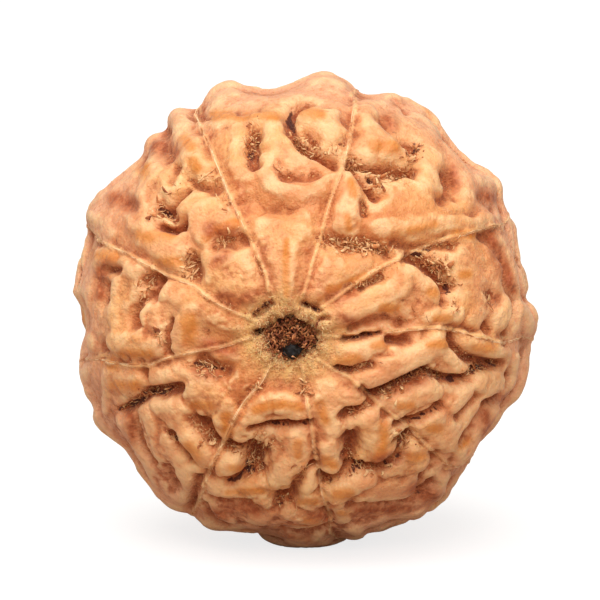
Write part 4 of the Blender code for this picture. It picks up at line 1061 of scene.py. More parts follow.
def makeSeed():
    mesh = fineBall()
    directions = crowdPoints(meshPoints(mesh))
    raised, sunk, reach = reliefLayers(directions)
    height = joinRelief(directions, raised, sunk, reach) + tearMouth(directions)
    points = surfaceFrom(directions, height)
    masks = seedMasks(directions, points, raised, sunk, reach)
    places = directions * tracedRadius
    calm = 1.0 - seedSettings["calmLimb"] * masks["limb"]
    fine = unevenness(places, seedSettings["lumpRate"], seedSettings["lumpHeight"])
    fine += unevenness(places, seedSettings["dimpleRate"], seedSettings["dimpleHeight"]) * calm
    fine += unevenness(places, seedSettings["wrinkleRate"], seedSettings["wrinkleHeight"]) * calm
    rough = unevenness(places, 5500.0, 1.0)
    pits = np.maximum(np.maximum(masks["fibre"], masks["deepShadow"]), masks["plug"])
    fine += rough * seedSettings["pitRoughness"] * pits
    fine += unevenness(places, seedSettings["ringRate"], seedSettings["ringRoughness"]) * masks["crust"]
    fine += unevenness(places, *seedSettings["stainRoughness"]) * masks["stainAndShade"]
    fine += unevenness(places, seedSettings["cleftRate"], seedSettings["cleftRoughness"]) * masks["cleft"]
    fold = unevenness(places, seedSettings["creaseRate"], 1.0) / seedSettings["creaseWidth"]
    where = smoothStep(-0.05, 0.25, unevenness(places, seedSettings["creaseSpread"], 1.0))
    fine -= seedSettings["creaseDepth"] * np.exp(-fold ** 2) * where * calm
    points += directions * fine[:, None]
    writePoints(mesh, points)
    edges = meshEdges(mesh)
    level = np.linalg.norm(points, axis=1)
    nearRise = level - blurred(level, edges, 14)
    wideRise = level - blurred(level, edges, 90)
    normals = meshNormals(mesh)
    sideways = normals - directions * np.einsum("ij,ij->i", normals, directions)[:, None]
    lean = smoothStep(-0.00002, 0.00010, nearRise) * seedSettings["bulge"]
    points += sideways * lean[:, None]
    # crest: convex edges, which take the pale rubbed colour with a painted highlight
    masks["crest"] = smoothStep(0.00001, 0.00006, nearRise)
    # Concave places: they carry painted shade into the colour, and also set the roughness and where crumbs lie
    masks["crevice"] = smoothStep(0.000012, 0.00012, -nearRise)
    masks["hollow"] = smoothStep(0.00004, 0.00042, -wideRise)
    # the stain and its painted shade are kept to the hollows
    masks["stainAndShade"] *= smoothStep(-0.00030, 0.00002, -wideRise)
    low = np.clip(0.15 + 1.6 * masks["hollow"] + 1.2 * masks["crevice"], 0.0, 1.0)
    masks["fibre"] *= low
    masks["deepShadow"] *= low
    masks["goldenAndShade"] *= 1.0 - masks["crevice"]
    points += seedMiddle
    points[:, 2] = np.maximum(points[:, 2], 0.0)
    writePoints(mesh, points)
    for name, values in masks.items():
        paint(mesh, name, values)
    mesh.shade_smooth()
    seed = bpy.data.objects.new("seedSkin", mesh)
    bpy.context.scene.collection.objects.link(seed)
    mesh.materials.append(seedMaterial())
    openChannel(seed)
    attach(seed, "root")
    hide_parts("seed")
    print("seed", len(seed.data.polygons), "faces")
    return seed


def openChannel(seed):
    # The stringing hole, cut through with slightly wavy walls
    bpy.ops.mesh.primitive_cylinder_add(vertices=48, radius=channelRadius, depth=4.0 * bodyHalfLength,
                                        location=tuple(seedMiddle),
                                        rotation=(pi / 2, 0.0, 0.0))
    cutter = bpy.context.object
    cut = seed.modifiers.new("channel", "BOOLEAN")
    cut.operation = "DIFFERENCE"
    cut.solver = "EXACT"
    cut.object = cutter
    bpy.context.view_layer.update()
    shape = bpy.data.meshes.new_from_object(seed.evaluated_get(bpy.context.evaluated_depsgraph_get()))
    seed.modifiers.clear()
    seed.data = shape
    shape.name = "seedSkin"
    bpy.data.objects.remove(cutter, do_unlink=True)


def makeTornEdgeGroup():
    # A soft mask broken up by noise, so that its edge frays in flakes
    group, given, result = newGroup("tornEdge", {"Mask": 0.0, "Scale": 3000.0, "Fray": 0.5}, {}, "Value")
    cloud = addNode(group, "ShaderNodeGroup", node_tree=mottleGroup)
    cloud.inputs["From"].default_value = 0.25
    cloud.inputs["To"].default_value = 0.75
    cloud.inputs["Detail"].default_value = 6.0
    feed(group, cloud.inputs["Scale"], given.outputs["Scale"])
    shift = calculate(group, "SUBTRACT", cloud.outputs["Value"], 0.5)
    shift = calculate(group, "MULTIPLY", shift, given.outputs["Fray"])
    nearby = calculate(group, "MULTIPLY", given.outputs["Mask"], 3.0, clamp=True)
    shifted = calculate(group, "ADD", given.outputs["Mask"], calculate(group, "MULTIPLY", shift, nearby))
    spread = addNode(group, "ShaderNodeMapRange", interpolation_type="SMOOTHSTEP")
    feed(group, spread.inputs["Value"], shifted)
    spread.inputs["From Min"].default_value = 0.30
    spread.inputs["From Max"].default_value = 0.70
    feed(group, result.inputs["Value"], spread.outputs["Result"])
    return group


def torn(tree, mask, scale, fray):
    node = addNode(tree, "ShaderNodeGroup", node_tree=tornEdgeGroup)
    feed(tree, node.inputs["Mask"], mask)
    node.inputs["Scale"].default_value = scale
    node.inputs["Fray"].default_value = fray
    return node.outputs["Value"]


tornEdgeGroup = makeTornEdgeGroup()


def seedTone(tree):
    # From the plain husk outwards: blush, a painted sheen towards the outline, golden faces with some painted shade,
    # rubbed crests with a painted highlight, then red-brown grain and painted shade in the hollows and crevices,
    # fibres and dust, and painted shadow in the darkest holes
    colours = seedColours
    tone = mixColour(tree, mottle(tree, 300.0, 0.35, 0.65, 6.0), colours["tan"], colours["paleTan"])
    blush = calculate(tree, "MULTIPLY", mottle(tree, 240.0, 0.42, 0.62, 6.0), 0.48)
    tone = mixColour(tree, blush, tone, colours["pink"])
    # Painted pale pink sheen towards the outline
    tone = mixColour(tree, calculate(tree, "MULTIPLY", readMask(tree, "limb"), 0.65), tone, colours["limb"])
    # Golden faces, partly rubbed skin and partly painted warm shade on knob undersides
    gold = calculate(tree, "ADD", calculate(tree, "MULTIPLY", mottle(tree, 1100.0, 0.35, 0.65), 0.25), 0.66)
    gold = calculate(tree, "MULTIPLY", calculate(tree, "MULTIPLY", readMask(tree, "goldenAndShade"), 1.2, clamp=True), gold)
    tone = mixColour(tree, gold, tone, colours["goldenAndShade"])
    # Pale crests and the pale edges of the golden faces: partly rubbed skin, partly a painted highlight
    rest = calculate(tree, "SUBTRACT", 1.0, readMask(tree, "goldenAndShade"))
    rimHighlight = calculate(tree, "MULTIPLY", readMask(tree, "goldenAndShade"), rest)
    crest = calculate(tree, "MULTIPLY", readMask(tree, "crest"), mottle(tree, 1000.0, 0.30, 0.62))
    crest = calculate(tree, "ADD", calculate(tree, "MULTIPLY", crest, 0.62), calculate(tree, "MULTIPLY", rimHighlight, 1.6))
    crest = calculate(tree, "MULTIPLY", crest, calculate(tree, "ADD", calculate(tree, "MULTIPLY", rest, 0.8), 0.2))
    tone = mixColour(tree, crest, tone, colours["worn"])
    # Painted shade with the husk's red-brown: hollows, crevices, shade marks and stains go ruddy, and the deepest go
    # darker still
    low = calculate(tree, "MAXIMUM", readMask(tree, "hollow"), readMask(tree, "shade"))
    low = calculate(tree, "MAXIMUM", low, calculate(tree, "MULTIPLY", readMask(tree, "crevice"), 0.85))
    clear = calculate(tree, "SUBTRACT", 1.0, calculate(tree, "MULTIPLY", readMask(tree, "crest"), 0.7))
    stainAndShade = calculate(tree, "MULTIPLY", calculate(tree, "MULTIPLY", readMask(tree, "stainAndShade"), clear),
                      mottle(tree, 2300.0, 0.36, 0.56, 8.0))
    low = calculate(tree, "MAXIMUM", low, calculate(tree, "MULTIPLY", stainAndShade, 0.88))
    tone = mixColour(tree, calculate(tree, "MULTIPLY", low, 0.78), tone, colours["ruddy"])
    grainyShade = calculate(tree, "MULTIPLY", low, calculate(tree, "MULTIPLY", low, mottle(tree, 3400.0, 0.30, 0.62, 6.0)))
    tone = mixColour(tree, calculate(tree, "MULTIPLY", grainyShade, 0.90), tone, colours["crevice"])
    plain = calculate(tree, "SUBTRACT", 1.0, calculate(tree, "MAXIMUM", readMask(tree, "crest"), readMask(tree, "goldenAndShade")))
    grains = calculate(tree, "ADD", calculate(tree, "MULTIPLY", plain, 0.30), 0.08)
    grains = calculate(tree, "MULTIPLY", mottle(tree, 4800.0, 0.52, 0.64, 5.0), grains)
    tone = mixColour(tree, grains, tone, colours["ruddy"])
    blotches = calculate(tree, "MULTIPLY", mottle(tree, 1300.0, 0.50, 0.72, 8.0), 0.30)
    tone = mixColour(tree, blotches, tone, colours["ruddy"])
    streaks = calculate(tree, "MULTIPLY", readMask(tree, "seamSide"), mottle(tree, 2900.0, 0.50, 0.62, 6.0))
    tone = mixColour(tree, calculate(tree, "MULTIPLY", streaks, 0.45), tone, colours["ruddy"])
    shreds = torn(tree, readMask(tree, "fibre"), 2600.0, 0.9)
    tone = mixColour(tree, calculate(tree, "MULTIPLY", shreds, 0.72), tone, colours["redFibre"])
    flakes = calculate(tree, "MULTIPLY", shreds, mottle(tree, 4200.0, 0.52, 0.61, 5.0, 1.5))
    tone = mixColour(tree, calculate(tree, "MULTIPLY", flakes, 0.6), tone, colours["straw"])
    dusty = calculate(tree, "MULTIPLY", readMask(tree, "ring"), mottle(tree, 2600.0, 0.25, 0.55, 6.0))
    dusty = calculate(tree, "MULTIPLY", dusty, calculate(tree, "SUBTRACT", 1.0, shreds))
    tone = mixColour(tree, calculate(tree, "MULTIPLY", dusty, 0.80), tone, colours["dust"])
    strand = calculate(tree, "MULTIPLY", readMask(tree, "strand"), 0.45)
    tone = mixColour(tree, strand, tone, colours["straw"])
    specks = mottle(tree, 8200.0, 0.62, 0.70, 2.0)
    amount = calculate(tree, "ADD", calculate(tree, "MULTIPLY", readMask(tree, "ring"), 0.35), 0.05)
    tone = mixColour(tree, calculate(tree, "MULTIPLY", specks, amount), tone, colours["speck"])
    tone = mixColour(tree, torn(tree, readMask(tree, "plug"), 2400.0, 0.8), tone, colours["plug"])
    # Painted shadow in the darkest holes and clefts
    dark = torn(tree, readMask(tree, "deepShadow"), 1900.0, 1.1)
    return mixColour(tree, calculate(tree, "MULTIPLY", dark, 0.94), tone, colours["deepShadow"])


def seedMaterial():
    material, tree, shader = newMaterial("seedHusk")
    feed(tree, shader.inputs["Base Color"], seedTone(tree))
    dull = calculate(tree, "MAXIMUM", readMask(tree, "crevice"), readMask(tree, "fibre"))
    dull = calculate(tree, "MAXIMUM", dull, readMask(tree, "ring"))
    dull = calculate(tree, "MAXIMUM", dull, readMask(tree, "plug"))
    roughness = addNode(tree, "ShaderNodeMapRange")
    feed(tree, roughness.inputs["Value"], dull)
    roughness.inputs["To Min"].default_value = 0.46
    roughness.inputs["To Max"].default_value = 0.90
    feed(tree, shader.inputs["Roughness"], roughness.outputs["Result"])
    fine = calculate(tree, "ADD", calculate(tree, "MULTIPLY", dull, 1.6), 0.35)
    grain = calculate(tree, "ADD", mottle(tree, 3200.0, 0.2, 0.8, 6.0),
                      calculate(tree, "MULTIPLY", mottle(tree, 9500.0, 0.2, 0.8, 3.0), fine))
    bump = addNode(tree, "ShaderNodeBump")
    bump.inputs["Strength"].default_value = 0.75
    bump.inputs["Distance"].default_value = 0.00007
    feed(tree, bump.inputs["Height"], grain)
    feed(tree, shader.inputs["Normal"], bump.outputs["Normal"])
    shader.inputs["Subsurface Weight"].default_value = 0.18
    shader.inputs["Subsurface Radius"].default_value = (1.0, 0.45, 0.20)
    shader.inputs["Subsurface Scale"].default_value = 0.0006
    shader.inputs["Specular IOR Level"].default_value = 0.32
    shader.inputs["Sheen Weight"].default_value = 0.10
    shader.inputs["Sheen Roughness"].default_value = 0.4
    shader.inputs["Sheen Tint"].default_value = (1.0, 0.86, 0.82, 1.0)
    return material


# Dry fibres torn out of the skin
fibreSettings = {
    "seed": 41,
    "rings": 5,
    "perSquarePixel": 0.13,
    "length": (0.00016, 0.00070),
    "halfWidth": (0.000016, 0.000085),
    "flatness": 0.16,
    "kink": 0.34,
    "facing": 0.35,           # none where the skin turns away from the view any further
    "taper": 0.45,
    "lift": (0.0, 0.45),
    "curl": (0.0, 1.4),
    "light": (0.88, 0.56, 0.28, 1.0),
    "hiddenCount": 1700,
    "hiddenFrom": -0.0015,    # how far behind the outline the hidden side's fibres begin
}


def growFibres(name, roots, normals, lift, sizes, tone, curl, draw, spread, light):
    # Curly flat shavings, each a closed strip of four-sided rings
    count = len(roots)
    length, halfWidth = sizes
    rings = fibreSettings["rings"]
    sway = draw.normal(size=(count, 3))
    tangent = sway - normals * np.einsum("ij,ij->i", sway, normals)[:, None]
    tangent /= np.linalg.norm(tangent, axis=1)[:, None]
    heading = normals * lift[:, None] + tangent * (1.0 - lift[:, None])
    heading /= np.linalg.norm(heading, axis=1)[:, None]
    axis = np.cross(heading, normals + 0.6 * draw.normal(size=(count, 3)))
    axis /= np.linalg.norm(axis, axis=1)[:, None]
    place = roots - normals * 0.00004
    step = length / (rings - 1)
    shape = np.empty((count, rings, 4, 3))
    for ring in range(rings):
        across = np.cross(heading, axis)
        across /= np.linalg.norm(across, axis=1)[:, None]
        taper = (1.0 - fibreSettings["taper"] * (ring / (rings - 1)) ** 2) * draw.uniform(0.55, 1.0, count)
        wide = axis * (halfWidth * taper)[:, None]
        thick = across * (halfWidth * taper * fibreSettings["flatness"])[:, None]
        for corner, (one, other) in enumerate(((1, 1), (-1, 1), (-1, -1), (1, -1))):
            shape[:, ring, corner] = place + one * wide + other * thick
        place = place + heading * step[:, None]
        heading = heading + across * (curl / (rings - 1))[:, None]
        heading = heading + fibreSettings["kink"] * draw.normal(size=(count, 3))
        heading /= np.linalg.norm(heading, axis=1)[:, None]
        axis = axis - heading * np.einsum("ij,ij->i", axis, heading)[:, None]
        axis /= np.linalg.norm(axis, axis=1)[:, None]
    points = shape.reshape(-1, 3)
    points[:, 2] = np.maximum(points[:, 2], 0.00002)
    faces = []
    for ring in range(rings - 1):
        for corner in range(4):
            following = (corner + 1) % 4
            low, high = ring * 4, ring * 4 + 4
            faces.append((low + corner, low + following, high + following, high + corner))
    faces.append((3, 2, 1, 0))
    last = (rings - 1) * 4
    faces.append((last, last + 1, last + 2, last + 3))
    pattern = np.array(faces)
    allFaces = (pattern[None] + (np.arange(count) * rings * 4)[:, None, None]).reshape(-1, 4)
    mesh = bpy.data.meshes.new(name)
    mesh.from_pydata(points.tolist(), [], allFaces.tolist())
    along = np.tile(np.repeat(np.linspace(0.0, 1.0, rings), 4), count)
    paint(mesh, "tone", np.repeat(tone, rings * 4) + 0.35 * (along - 0.5))
    mesh.materials.append(fibreMaterial(name, spread, light))
    addPiece(name, mesh)


def addPiece(name, mesh):
    # A finished mesh as a piece of the seed, which rides with it
    mesh.shade_smooth()
    thing = bpy.data.objects.new(name, mesh)
    bpy.context.scene.collection.objects.link(thing)
    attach(thing, "root")
    print(name, len(mesh.polygons), "faces")


def fibreMaterial(name, spread, light):
    material, tree, shader = newMaterial(name)
    tint = addNode(tree, "ShaderNodeGroup", node_tree=fibreTintGroup)
    feed(tree, tint.inputs["Tone"], readMask(tree, "tone"))
    tint.inputs["Spread"].default_value = spread
    tint.inputs["Light"].default_value = light
    feed(tree, shader.inputs["Base Color"], tint.outputs["Color"])
    rough = addNode(tree, "ShaderNodeMapRange")
    feed(tree, rough.inputs["Value"], mottle(tree, 2500.0))
    rough.inputs["To Min"].default_value = 0.55
    rough.inputs["To Max"].default_value = 0.90
    feed(tree, shader.inputs["Roughness"], rough.outputs["Result"])
    shader.inputs["Subsurface Weight"].default_value = 0.1
    shader.inputs["Subsurface Scale"].default_value = 0.0002
    return material


def castFromPicture(tree, pixels):
    # Where the line of sight through each pixel meets the seed, and the surface's normal there
    eye = cameraPlace() + seedMiddle
    half = cameraSettings["pictureSize"] / 2.0
    found = []
    for across, down in pixels:
        ray = (viewRight * (across - half) - viewUp * (down - half)) * pixelSize
        ray = ray - viewBack * cameraSettings["distance"]
        place, normal, index, distance = tree.ray_cast(Vector(eye), Vector(ray))
        if place is not None:
            found.append((*place, *normal, index))
    found = np.array(found)
    return found[:, :3], found[:, 3:6], found[:, 6].astype(int)


def castFromMiddle(tree, directions):
    # Where a line from the seed's middle comes out through the skin
    middle = Vector(seedMiddle)
    found = []
    for direction in directions:
        place, normal, index, distance = tree.ray_cast(middle + Vector(direction) * 0.02, -Vector(direction))
        found.append((*place, *normal))
    found = np.array(found)
    return found[:, :3], found[:, 3:]


def stripSizes(settings, count, draw):
    return draw.uniform(*settings["length"], count), draw.uniform(*settings["halfWidth"], count)


def makePitFibres(tree, seed):
    draw = np.random.default_rng(fibreSettings["seed"])
    pixels = []
    for halfWidth, line in fibrePlaces:
        line = evenly(roundedLine(np.array(line, dtype=float)), 1.0)
        area = 2.0 * halfWidth * (len(line) + 1.6 * halfWidth)
        count = int(area * fibreSettings["perSquarePixel"])
        chosen = line[draw.integers(0, len(line), count)]
        spread = np.clip(draw.normal(0.0, 0.42, size=(count, 2)), -1.0, 1.0) * halfWidth
        pixels.extend((chosen + spread).tolist())
    roots, normals, faces = castFromPicture(tree, pixels)
    kept = fibreShare(seed)[faces] > draw.uniform(0.0, 0.8, len(faces))
    kept &= normals @ viewBack > fibreSettings["facing"]
    makeStrips("pitFibres", roots[kept], normals[kept], draw)


def readPoints(seed, name):
    values = np.zeros(len(seed.data.vertices), dtype=np.float32)
    seed.data.attributes[name].data.foreach_get("value", values)
    return values


def fibreShare(seed):
    # The fibre mask of each face, read at its first corner
    first = np.zeros(len(seed.data.polygons), dtype=np.int32)
    seed.data.polygons.foreach_get("loop_start", first)
    corners = np.zeros(len(seed.data.loops), dtype=np.int32)
    seed.data.loops.foreach_get("vertex_index", corners)
    return readPoints(seed, "fibre")[corners[first]]


def makeStrips(name, roots, normals, draw):
    count = len(roots)
    lift = draw.uniform(*fibreSettings["lift"], count)
    size = draw.beta(1.3, 2.4, count)
    length = fibreSettings["length"][0] + np.ptp(fibreSettings["length"]) * size
    halfWidth = fibreSettings["halfWidth"][0] + np.ptp(fibreSettings["halfWidth"]) * draw.beta(1.2, 2.0, count)
    tone = draw.beta(1.7, 1.2, count)
    growFibres(name, roots, normals, lift, (length, halfWidth), tone, draw.uniform(*fibreSettings["curl"], count),
               draw, 0.3, fibreSettings["light"])


# The largest curled shavings, each group by its middle and spread in the picture and its count
shavingSettings = {
    "seed": 47,
    "groups": [
        (351, 245, 12, 64), (370, 247, 12, 22), (335, 243, 9, 12), (442, 268, 10, 34), (432, 259, 8, 14),
        (353, 168, 10, 34), (375, 183, 10, 30), (398, 179, 8, 10), (410, 158, 7, 8), (192, 268, 7, 18),
        (157, 216, 8, 16), (392, 390, 13, 22), (425, 372, 9, 20), (163, 337, 7, 14), (206, 440, 8, 18),
        (250, 455, 11, 30), (401, 438, 9, 18), (252, 145, 6, 14), (302, 147, 8, 12), (328, 149, 10, 12),
        (447, 282, 7, 14), (185, 258, 6, 8), (162, 208, 7, 8), (190, 275, 6, 8), (262, 440, 10, 14),
        (145, 285, 6, 8), (207, 369, 9, 10), (155, 392, 9, 8), (370, 469, 10, 8), (213, 178, 8, 6),
        (228, 240, 8, 6), (252, 388, 7, 6), (306, 388, 5, 5), (478, 367, 8, 6), (366, 280, 10, 5),
    ],
    "length": (0.00016, 0.00056),
    "halfWidth": (0.000024, 0.000130),
    "light": (0.92, 0.60, 0.31, 1.0),
}


def makeShavings(tree):
    draw = np.random.default_rng(shavingSettings["seed"])
    pixels = []
    for across, down, spread, count in shavingSettings["groups"]:
        spots = np.clip(draw.normal(0.0, 0.5, size=(count, 2)), -1.0, 1.0) * spread
        pixels.extend((spots * (1.0, 0.7) + (across, down)).tolist())
    roots, normals, faces = castFromPicture(tree, pixels)
    kept = normals @ viewBack > fibreSettings["facing"]
    roots, normals = roots[kept], normals[kept]
    count = len(roots)
    lift = draw.uniform(*fibreSettings["lift"], count)
    growFibres("shavings", roots, normals, lift, stripSizes(shavingSettings, count, draw),
               draw.beta(1.8, 1.2, count), draw.uniform(*fibreSettings["curl"], count), draw, 0.35,
               shavingSettings["light"])


def makeHiddenFibres(tree, seed):
    draw = np.random.default_rng(fibreSettings["seed"] + 1)
    mask = readPoints(seed, "fibre")
    points = meshPoints(seed.data)
    behind = (points - seedMiddle) @ viewBack < fibreSettings["hiddenFrom"]
    inside = np.flatnonzero((mask > 0.45) & behind & (points[:, 2] > 0.001))
    chosen = draw.choice(inside, fibreSettings["hiddenCount"], replace=False)
    normals = meshNormals(seed.data)[chosen]
    makeStrips("hiddenFibres", points[chosen], normals, draw)


plugSettings = {
    "count": 420,
    "radius": 0.00112,
    "topDepth": 0.00045,           # how much deeper the plug lies under the upper rim
    "depth": (0.00034, 0.00110),   # behind the mouth's rim
    "blackSpot": (292.0, 350.0, 11.0, 8.0),
    "length": (0.00010, 0.00045),
    "halfWidth": (0.000010, 0.000075),
    "lift": (0.0, 0.35),
    "brightest": 0.80,
    "light": (0.74, 0.37, 0.19, 1.0),
    "grainSize": (0.00038, 0.00036, 0.00027),
    "grainDepth": 0.00060,
    "grainLumps": (5600.0, 0.50),
}


def plugPlaces(draw, count):
    # Places spread through the hole's mouth, except where it is black
    turn = draw.uniform(0.0, tau, count)
    radius = plugSettings["radius"] * np.sqrt(draw.uniform(0.0, 1.0, count))
    high = smoothStep(0.0, 1.0, (np.sin(turn) - 0.3 * np.cos(turn)) * radius / plugSettings["radius"])
    depth = draw.uniform(*plugSettings["depth"], count) + plugSettings["topDepth"] * high
    places = np.stack([np.cos(turn) * radius, depth - bodyHalfLength, np.sin(turn) * radius], axis=1)
    across, down, halfWidth, halfHeight = plugSettings["blackSpot"]
    pixels = pictureOf(places)
    spot = np.hypot((pixels[:, 0] - across) / halfWidth, (pixels[:, 1] - down) / halfHeight)
    away = (pixels - mouthSettings["middle"]) / mouthSettings["halfSize"]
    inside = np.hypot(away[:, 0], away[:, 1]) < 0.97
    return places[(spot > 1.0) & inside] + seedMiddle


def makeHoleFibres():
    # A torn plug of reddish flakes in the hole's mouth
    draw = np.random.default_rng(fibreSettings["seed"] + 2)
    start = plugPlaces(draw, plugSettings["count"])
    count = len(start)
    outward = draw.normal(size=(count, 3)) * 0.7 + (0.0, -1.0, 0.0)
    outward /= np.linalg.norm(outward, axis=1)[:, None]
    length = draw.uniform(*plugSettings["length"], count)
    lift = draw.uniform(*plugSettings["lift"], count)
    sizes = length, draw.uniform(*plugSettings["halfWidth"], count)
    tone = draw.beta(0.9, 1.6, count) * plugSettings["brightest"]
    growFibres("holeFibres", start, outward, lift, sizes, tone, draw.uniform(*fibreSettings["curl"], count), draw,
               0.6, plugSettings["light"])


def makeBlackGrain():
    # One dark lump lodged in the lower part of the mouth
    ball = bmesh.new()
    bmesh.ops.create_icosphere(ball, subdivisions=4, radius=1.0)
    mesh = bpy.data.meshes.new("blackGrain")
    ball.to_mesh(mesh)
    ball.free()
    corners = meshPoints(mesh)
    size = np.array(plugSettings["grainSize"])
    lumps = 1.0 + unevenness(corners * size, *plugSettings["grainLumps"])
    base = np.array((0.0, plugSettings["grainDepth"] - bodyHalfLength, 0.0))
    seen = pictureOf(base[None])[0]
    across, down = plugSettings["blackSpot"][:2]
    base = base + (viewRight * (across - seen[0]) - viewUp * (down - seen[1])) * pixelSize
    writePoints(mesh, corners * size * lumps[:, None] + base + seedMiddle)
    material, tree, shader = newMaterial("blackGrain")
    feed(tree, shader.inputs["Base Color"], mixColour(tree, mottle(tree, 2300.0, 0.45, 0.62, 5.0),
                                                      (0.005, 0.003, 0.002, 1.0), (0.018, 0.017, 0.018, 1.0)))
    gloss = calculate(tree, "MULTIPLY", mottle(tree, 5200.0), 0.35)
    feed(tree, shader.inputs["Roughness"], calculate(tree, "ADD", gloss, 0.50))
    shader.inputs["Specular IOR Level"].default_value = 0.25
    mesh.materials.append(material)
    addPiece("blackGrain", mesh)


# Thin straw threads that lie along the seams
threadSettings = {"seed": 52, "perSeam": 3, "step": 0.00016, "halfWidth": 0.000014, "wander": 1.3}


def seamPath(name):
    trace = roundedLine(np.array(seams[name], dtype=float))
    shown = pictureToSphere(trace)
    last = shown[-1]
    hidden = hiddenSeam(seamTurns()[name], acos(-last[1]))
    return np.concatenate([shown, hidden[1:]])


def evenly(path, step):
    # Points at even steps along a path
    lengths = np.linalg.norm(np.diff(path, axis=0), axis=1)
    travelled = np.concatenate([[0.0], np.cumsum(lengths)])
    stops = np.arange(0.0, travelled[-1], step)
    return np.stack([np.interp(stops, travelled, side) for side in path.T], axis=1)


def makeSeamThreads(tree):
    draw = np.random.default_rng(threadSettings["seed"])
    curve = bpy.data.curves.new("seamThreads", "CURVE")
    curve.dimensions = "3D"
    curve.bevel_depth = threadSettings["halfWidth"]
    curve.bevel_resolution = 1
    curve.use_fill_caps = True
    for name in seams:
        path = evenly(seamPath(name), threadSettings["step"] / tracedRadius)
        heading = np.gradient(path, axis=0)
        side = np.cross(path, heading)
        side /= np.linalg.norm(side, axis=1)[:, None]
        for strand in range(threadSettings["perSeam"]):
            phase = draw.uniform(0.0, 100.0)
            along = np.arange(len(path)) * 0.08
            drift = np.array([noise.noise(Vector((place, phase, 0.0))) for place in along])
            drift = drift * threadSettings["wander"] / mapRadius * 2.0
            begin = int(draw.uniform(0.0, 0.3) * len(path))
            end = int(draw.uniform(0.5, 1.0) * len(path))
            line = path + side * drift[:, None]
            line = line[begin:end]
            line /= np.linalg.norm(line, axis=1)[:, None]
            places, normals = castFromMiddle(tree, line)
            lift = draw.uniform(0.2, 0.8) * threadSettings["halfWidth"]
            places = places + normals * lift
            spline = curve.splines.new("POLY")
            spline.points.add(len(places) - 1)
            thickness = draw.uniform(0.5, 1.1)
            for point, place in zip(spline.points, places):
                point.co = (*place, 1.0)
                point.radius = thickness
    threads = bpy.data.objects.new("seamThreadCurves", curve)
    bpy.context.scene.collection.objects.link(threads)
    bpy.context.view_layer.update()
    shape = bpy.data.meshes.new_from_object(threads.evaluated_get(bpy.context.evaluated_depsgraph_get()))
    bpy.data.objects.remove(threads, do_unlink=True)
    thing = bpy.data.objects.new("seamThreads", shape)
    bpy.context.scene.collection.objects.link(thing)
    shape.materials.clear()
    shape.materials.append(threadMaterial())
    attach(thing, "root")
    print("seamThreads", len(shape.polygons), "faces")


def threadMaterial():
    material, tree, shader = newMaterial("seamThread")
    tint = addNode(tree, "ShaderNodeGroup", node_tree=fibreTintGroup)
    tint.inputs["Spread"].default_value = 0.5
    feed(tree, tint.inputs["Tone"], calculate(tree, "ADD", calculate(tree, "MULTIPLY", mottle(tree, 700.0), 0.4), 0.6))
    tint.inputs["Light"].default_value = (0.95, 0.70, 0.42, 1.0)
    feed(tree, shader.inputs["Base Color"], tint.outputs["Color"])
    feed(tree, shader.inputs["Roughness"], calculate(tree, "ADD", calculate(tree, "MULTIPLY", mottle(tree, 2500.0), 0.2), 0.6))
    return material


# Dusty crumbs round the stringing hole and reddish ones in the pits and crevices
crumbSettings = {
    "seed": 63,
    "ring": (24.0, 38.0),            # nearest to the hole and farthest beyond that, in pixels
    "crustRing": (22.0, 17.0, 3.0, 3.0),  # the same, then the height of its ripple and its waves
    "tufts": [(401, 331, 11, 4, 60), (430, 246, 10, 5, 60), (383, 268, 20, 4, 60), (345, 337, 40, 3, 60)],
    "count": 1300, "radius": (0.000014, 0.000040),
    "crustCount": 1500, "crustRadius": (0.000016, 0.000060),
    "pitCount": 4400, "pitRadius": (0.000018, 0.000060),
    "plugCount": 520, "plugRadius": (0.000018, 0.000085),
}

# Short straw hairs in the crust: where each group is, its spread and its count
hairSettings = {
    "seed": 71,
    "ring": (24.0, 30.0, 360),       # nearest, farthest beyond that, count
    "tufts": [(306, 315, 8, 6, 110), (272, 312, 9, 5, 40), (262, 322, 6, 5, 30), (322, 326, 7, 6, 36),
              (312, 354, 6, 5, 24), (276, 362, 10, 4, 40), (298, 364, 9, 4, 34), (262, 348, 6, 6, 24)],
    "length": (0.00010, 0.00040),
    "halfWidth": (0.000010, 0.000034),
    "lift": (0.0, 0.40),
    "curl": (0.2, 2.6),
    "light": (0.92, 0.64, 0.31, 1.0),
}


def roundHole(turn, reach):
    # Pixels of the picture by their turn and reach from the hole
    return np.stack([holeCentre[0] + np.cos(turn) * reach, holeCentre[1] + np.sin(turn) * reach * ringSquash], axis=1)


def withTufts(pixels, tufts, draw):
    # More pixels in loose groups, each by its middle, its half width and height and its count
    for across, down, halfWidth, halfHeight, number in tufts:
        spots = draw.normal(0.0, 0.5, size=(number, 2)) * (halfWidth, halfHeight) + (across, down)
        pixels = np.concatenate([pixels, spots])
    return pixels


def makeCrustHairs(tree):
    draw = np.random.default_rng(hairSettings["seed"])
    nearest, spread, count = hairSettings["ring"]
    turn = draw.uniform(0.0, tau, count)
    reach = nearest + spread * draw.beta(1.0, 2.2, count)
    pixels = withTufts(roundHole(turn, reach), hairSettings["tufts"], draw)
    roots, normals, faces = castFromPicture(tree, pixels)
    count = len(roots)
    lift = draw.uniform(*hairSettings["lift"], count)
    sizes = stripSizes(hairSettings, count, draw)
    tone = 0.55 + 0.45 * draw.beta(1.8, 1.2, count)
    growFibres("crustHairs", roots, normals, lift, sizes, tone, draw.uniform(*hairSettings["curl"], count), draw,
               0.3, hairSettings["light"])


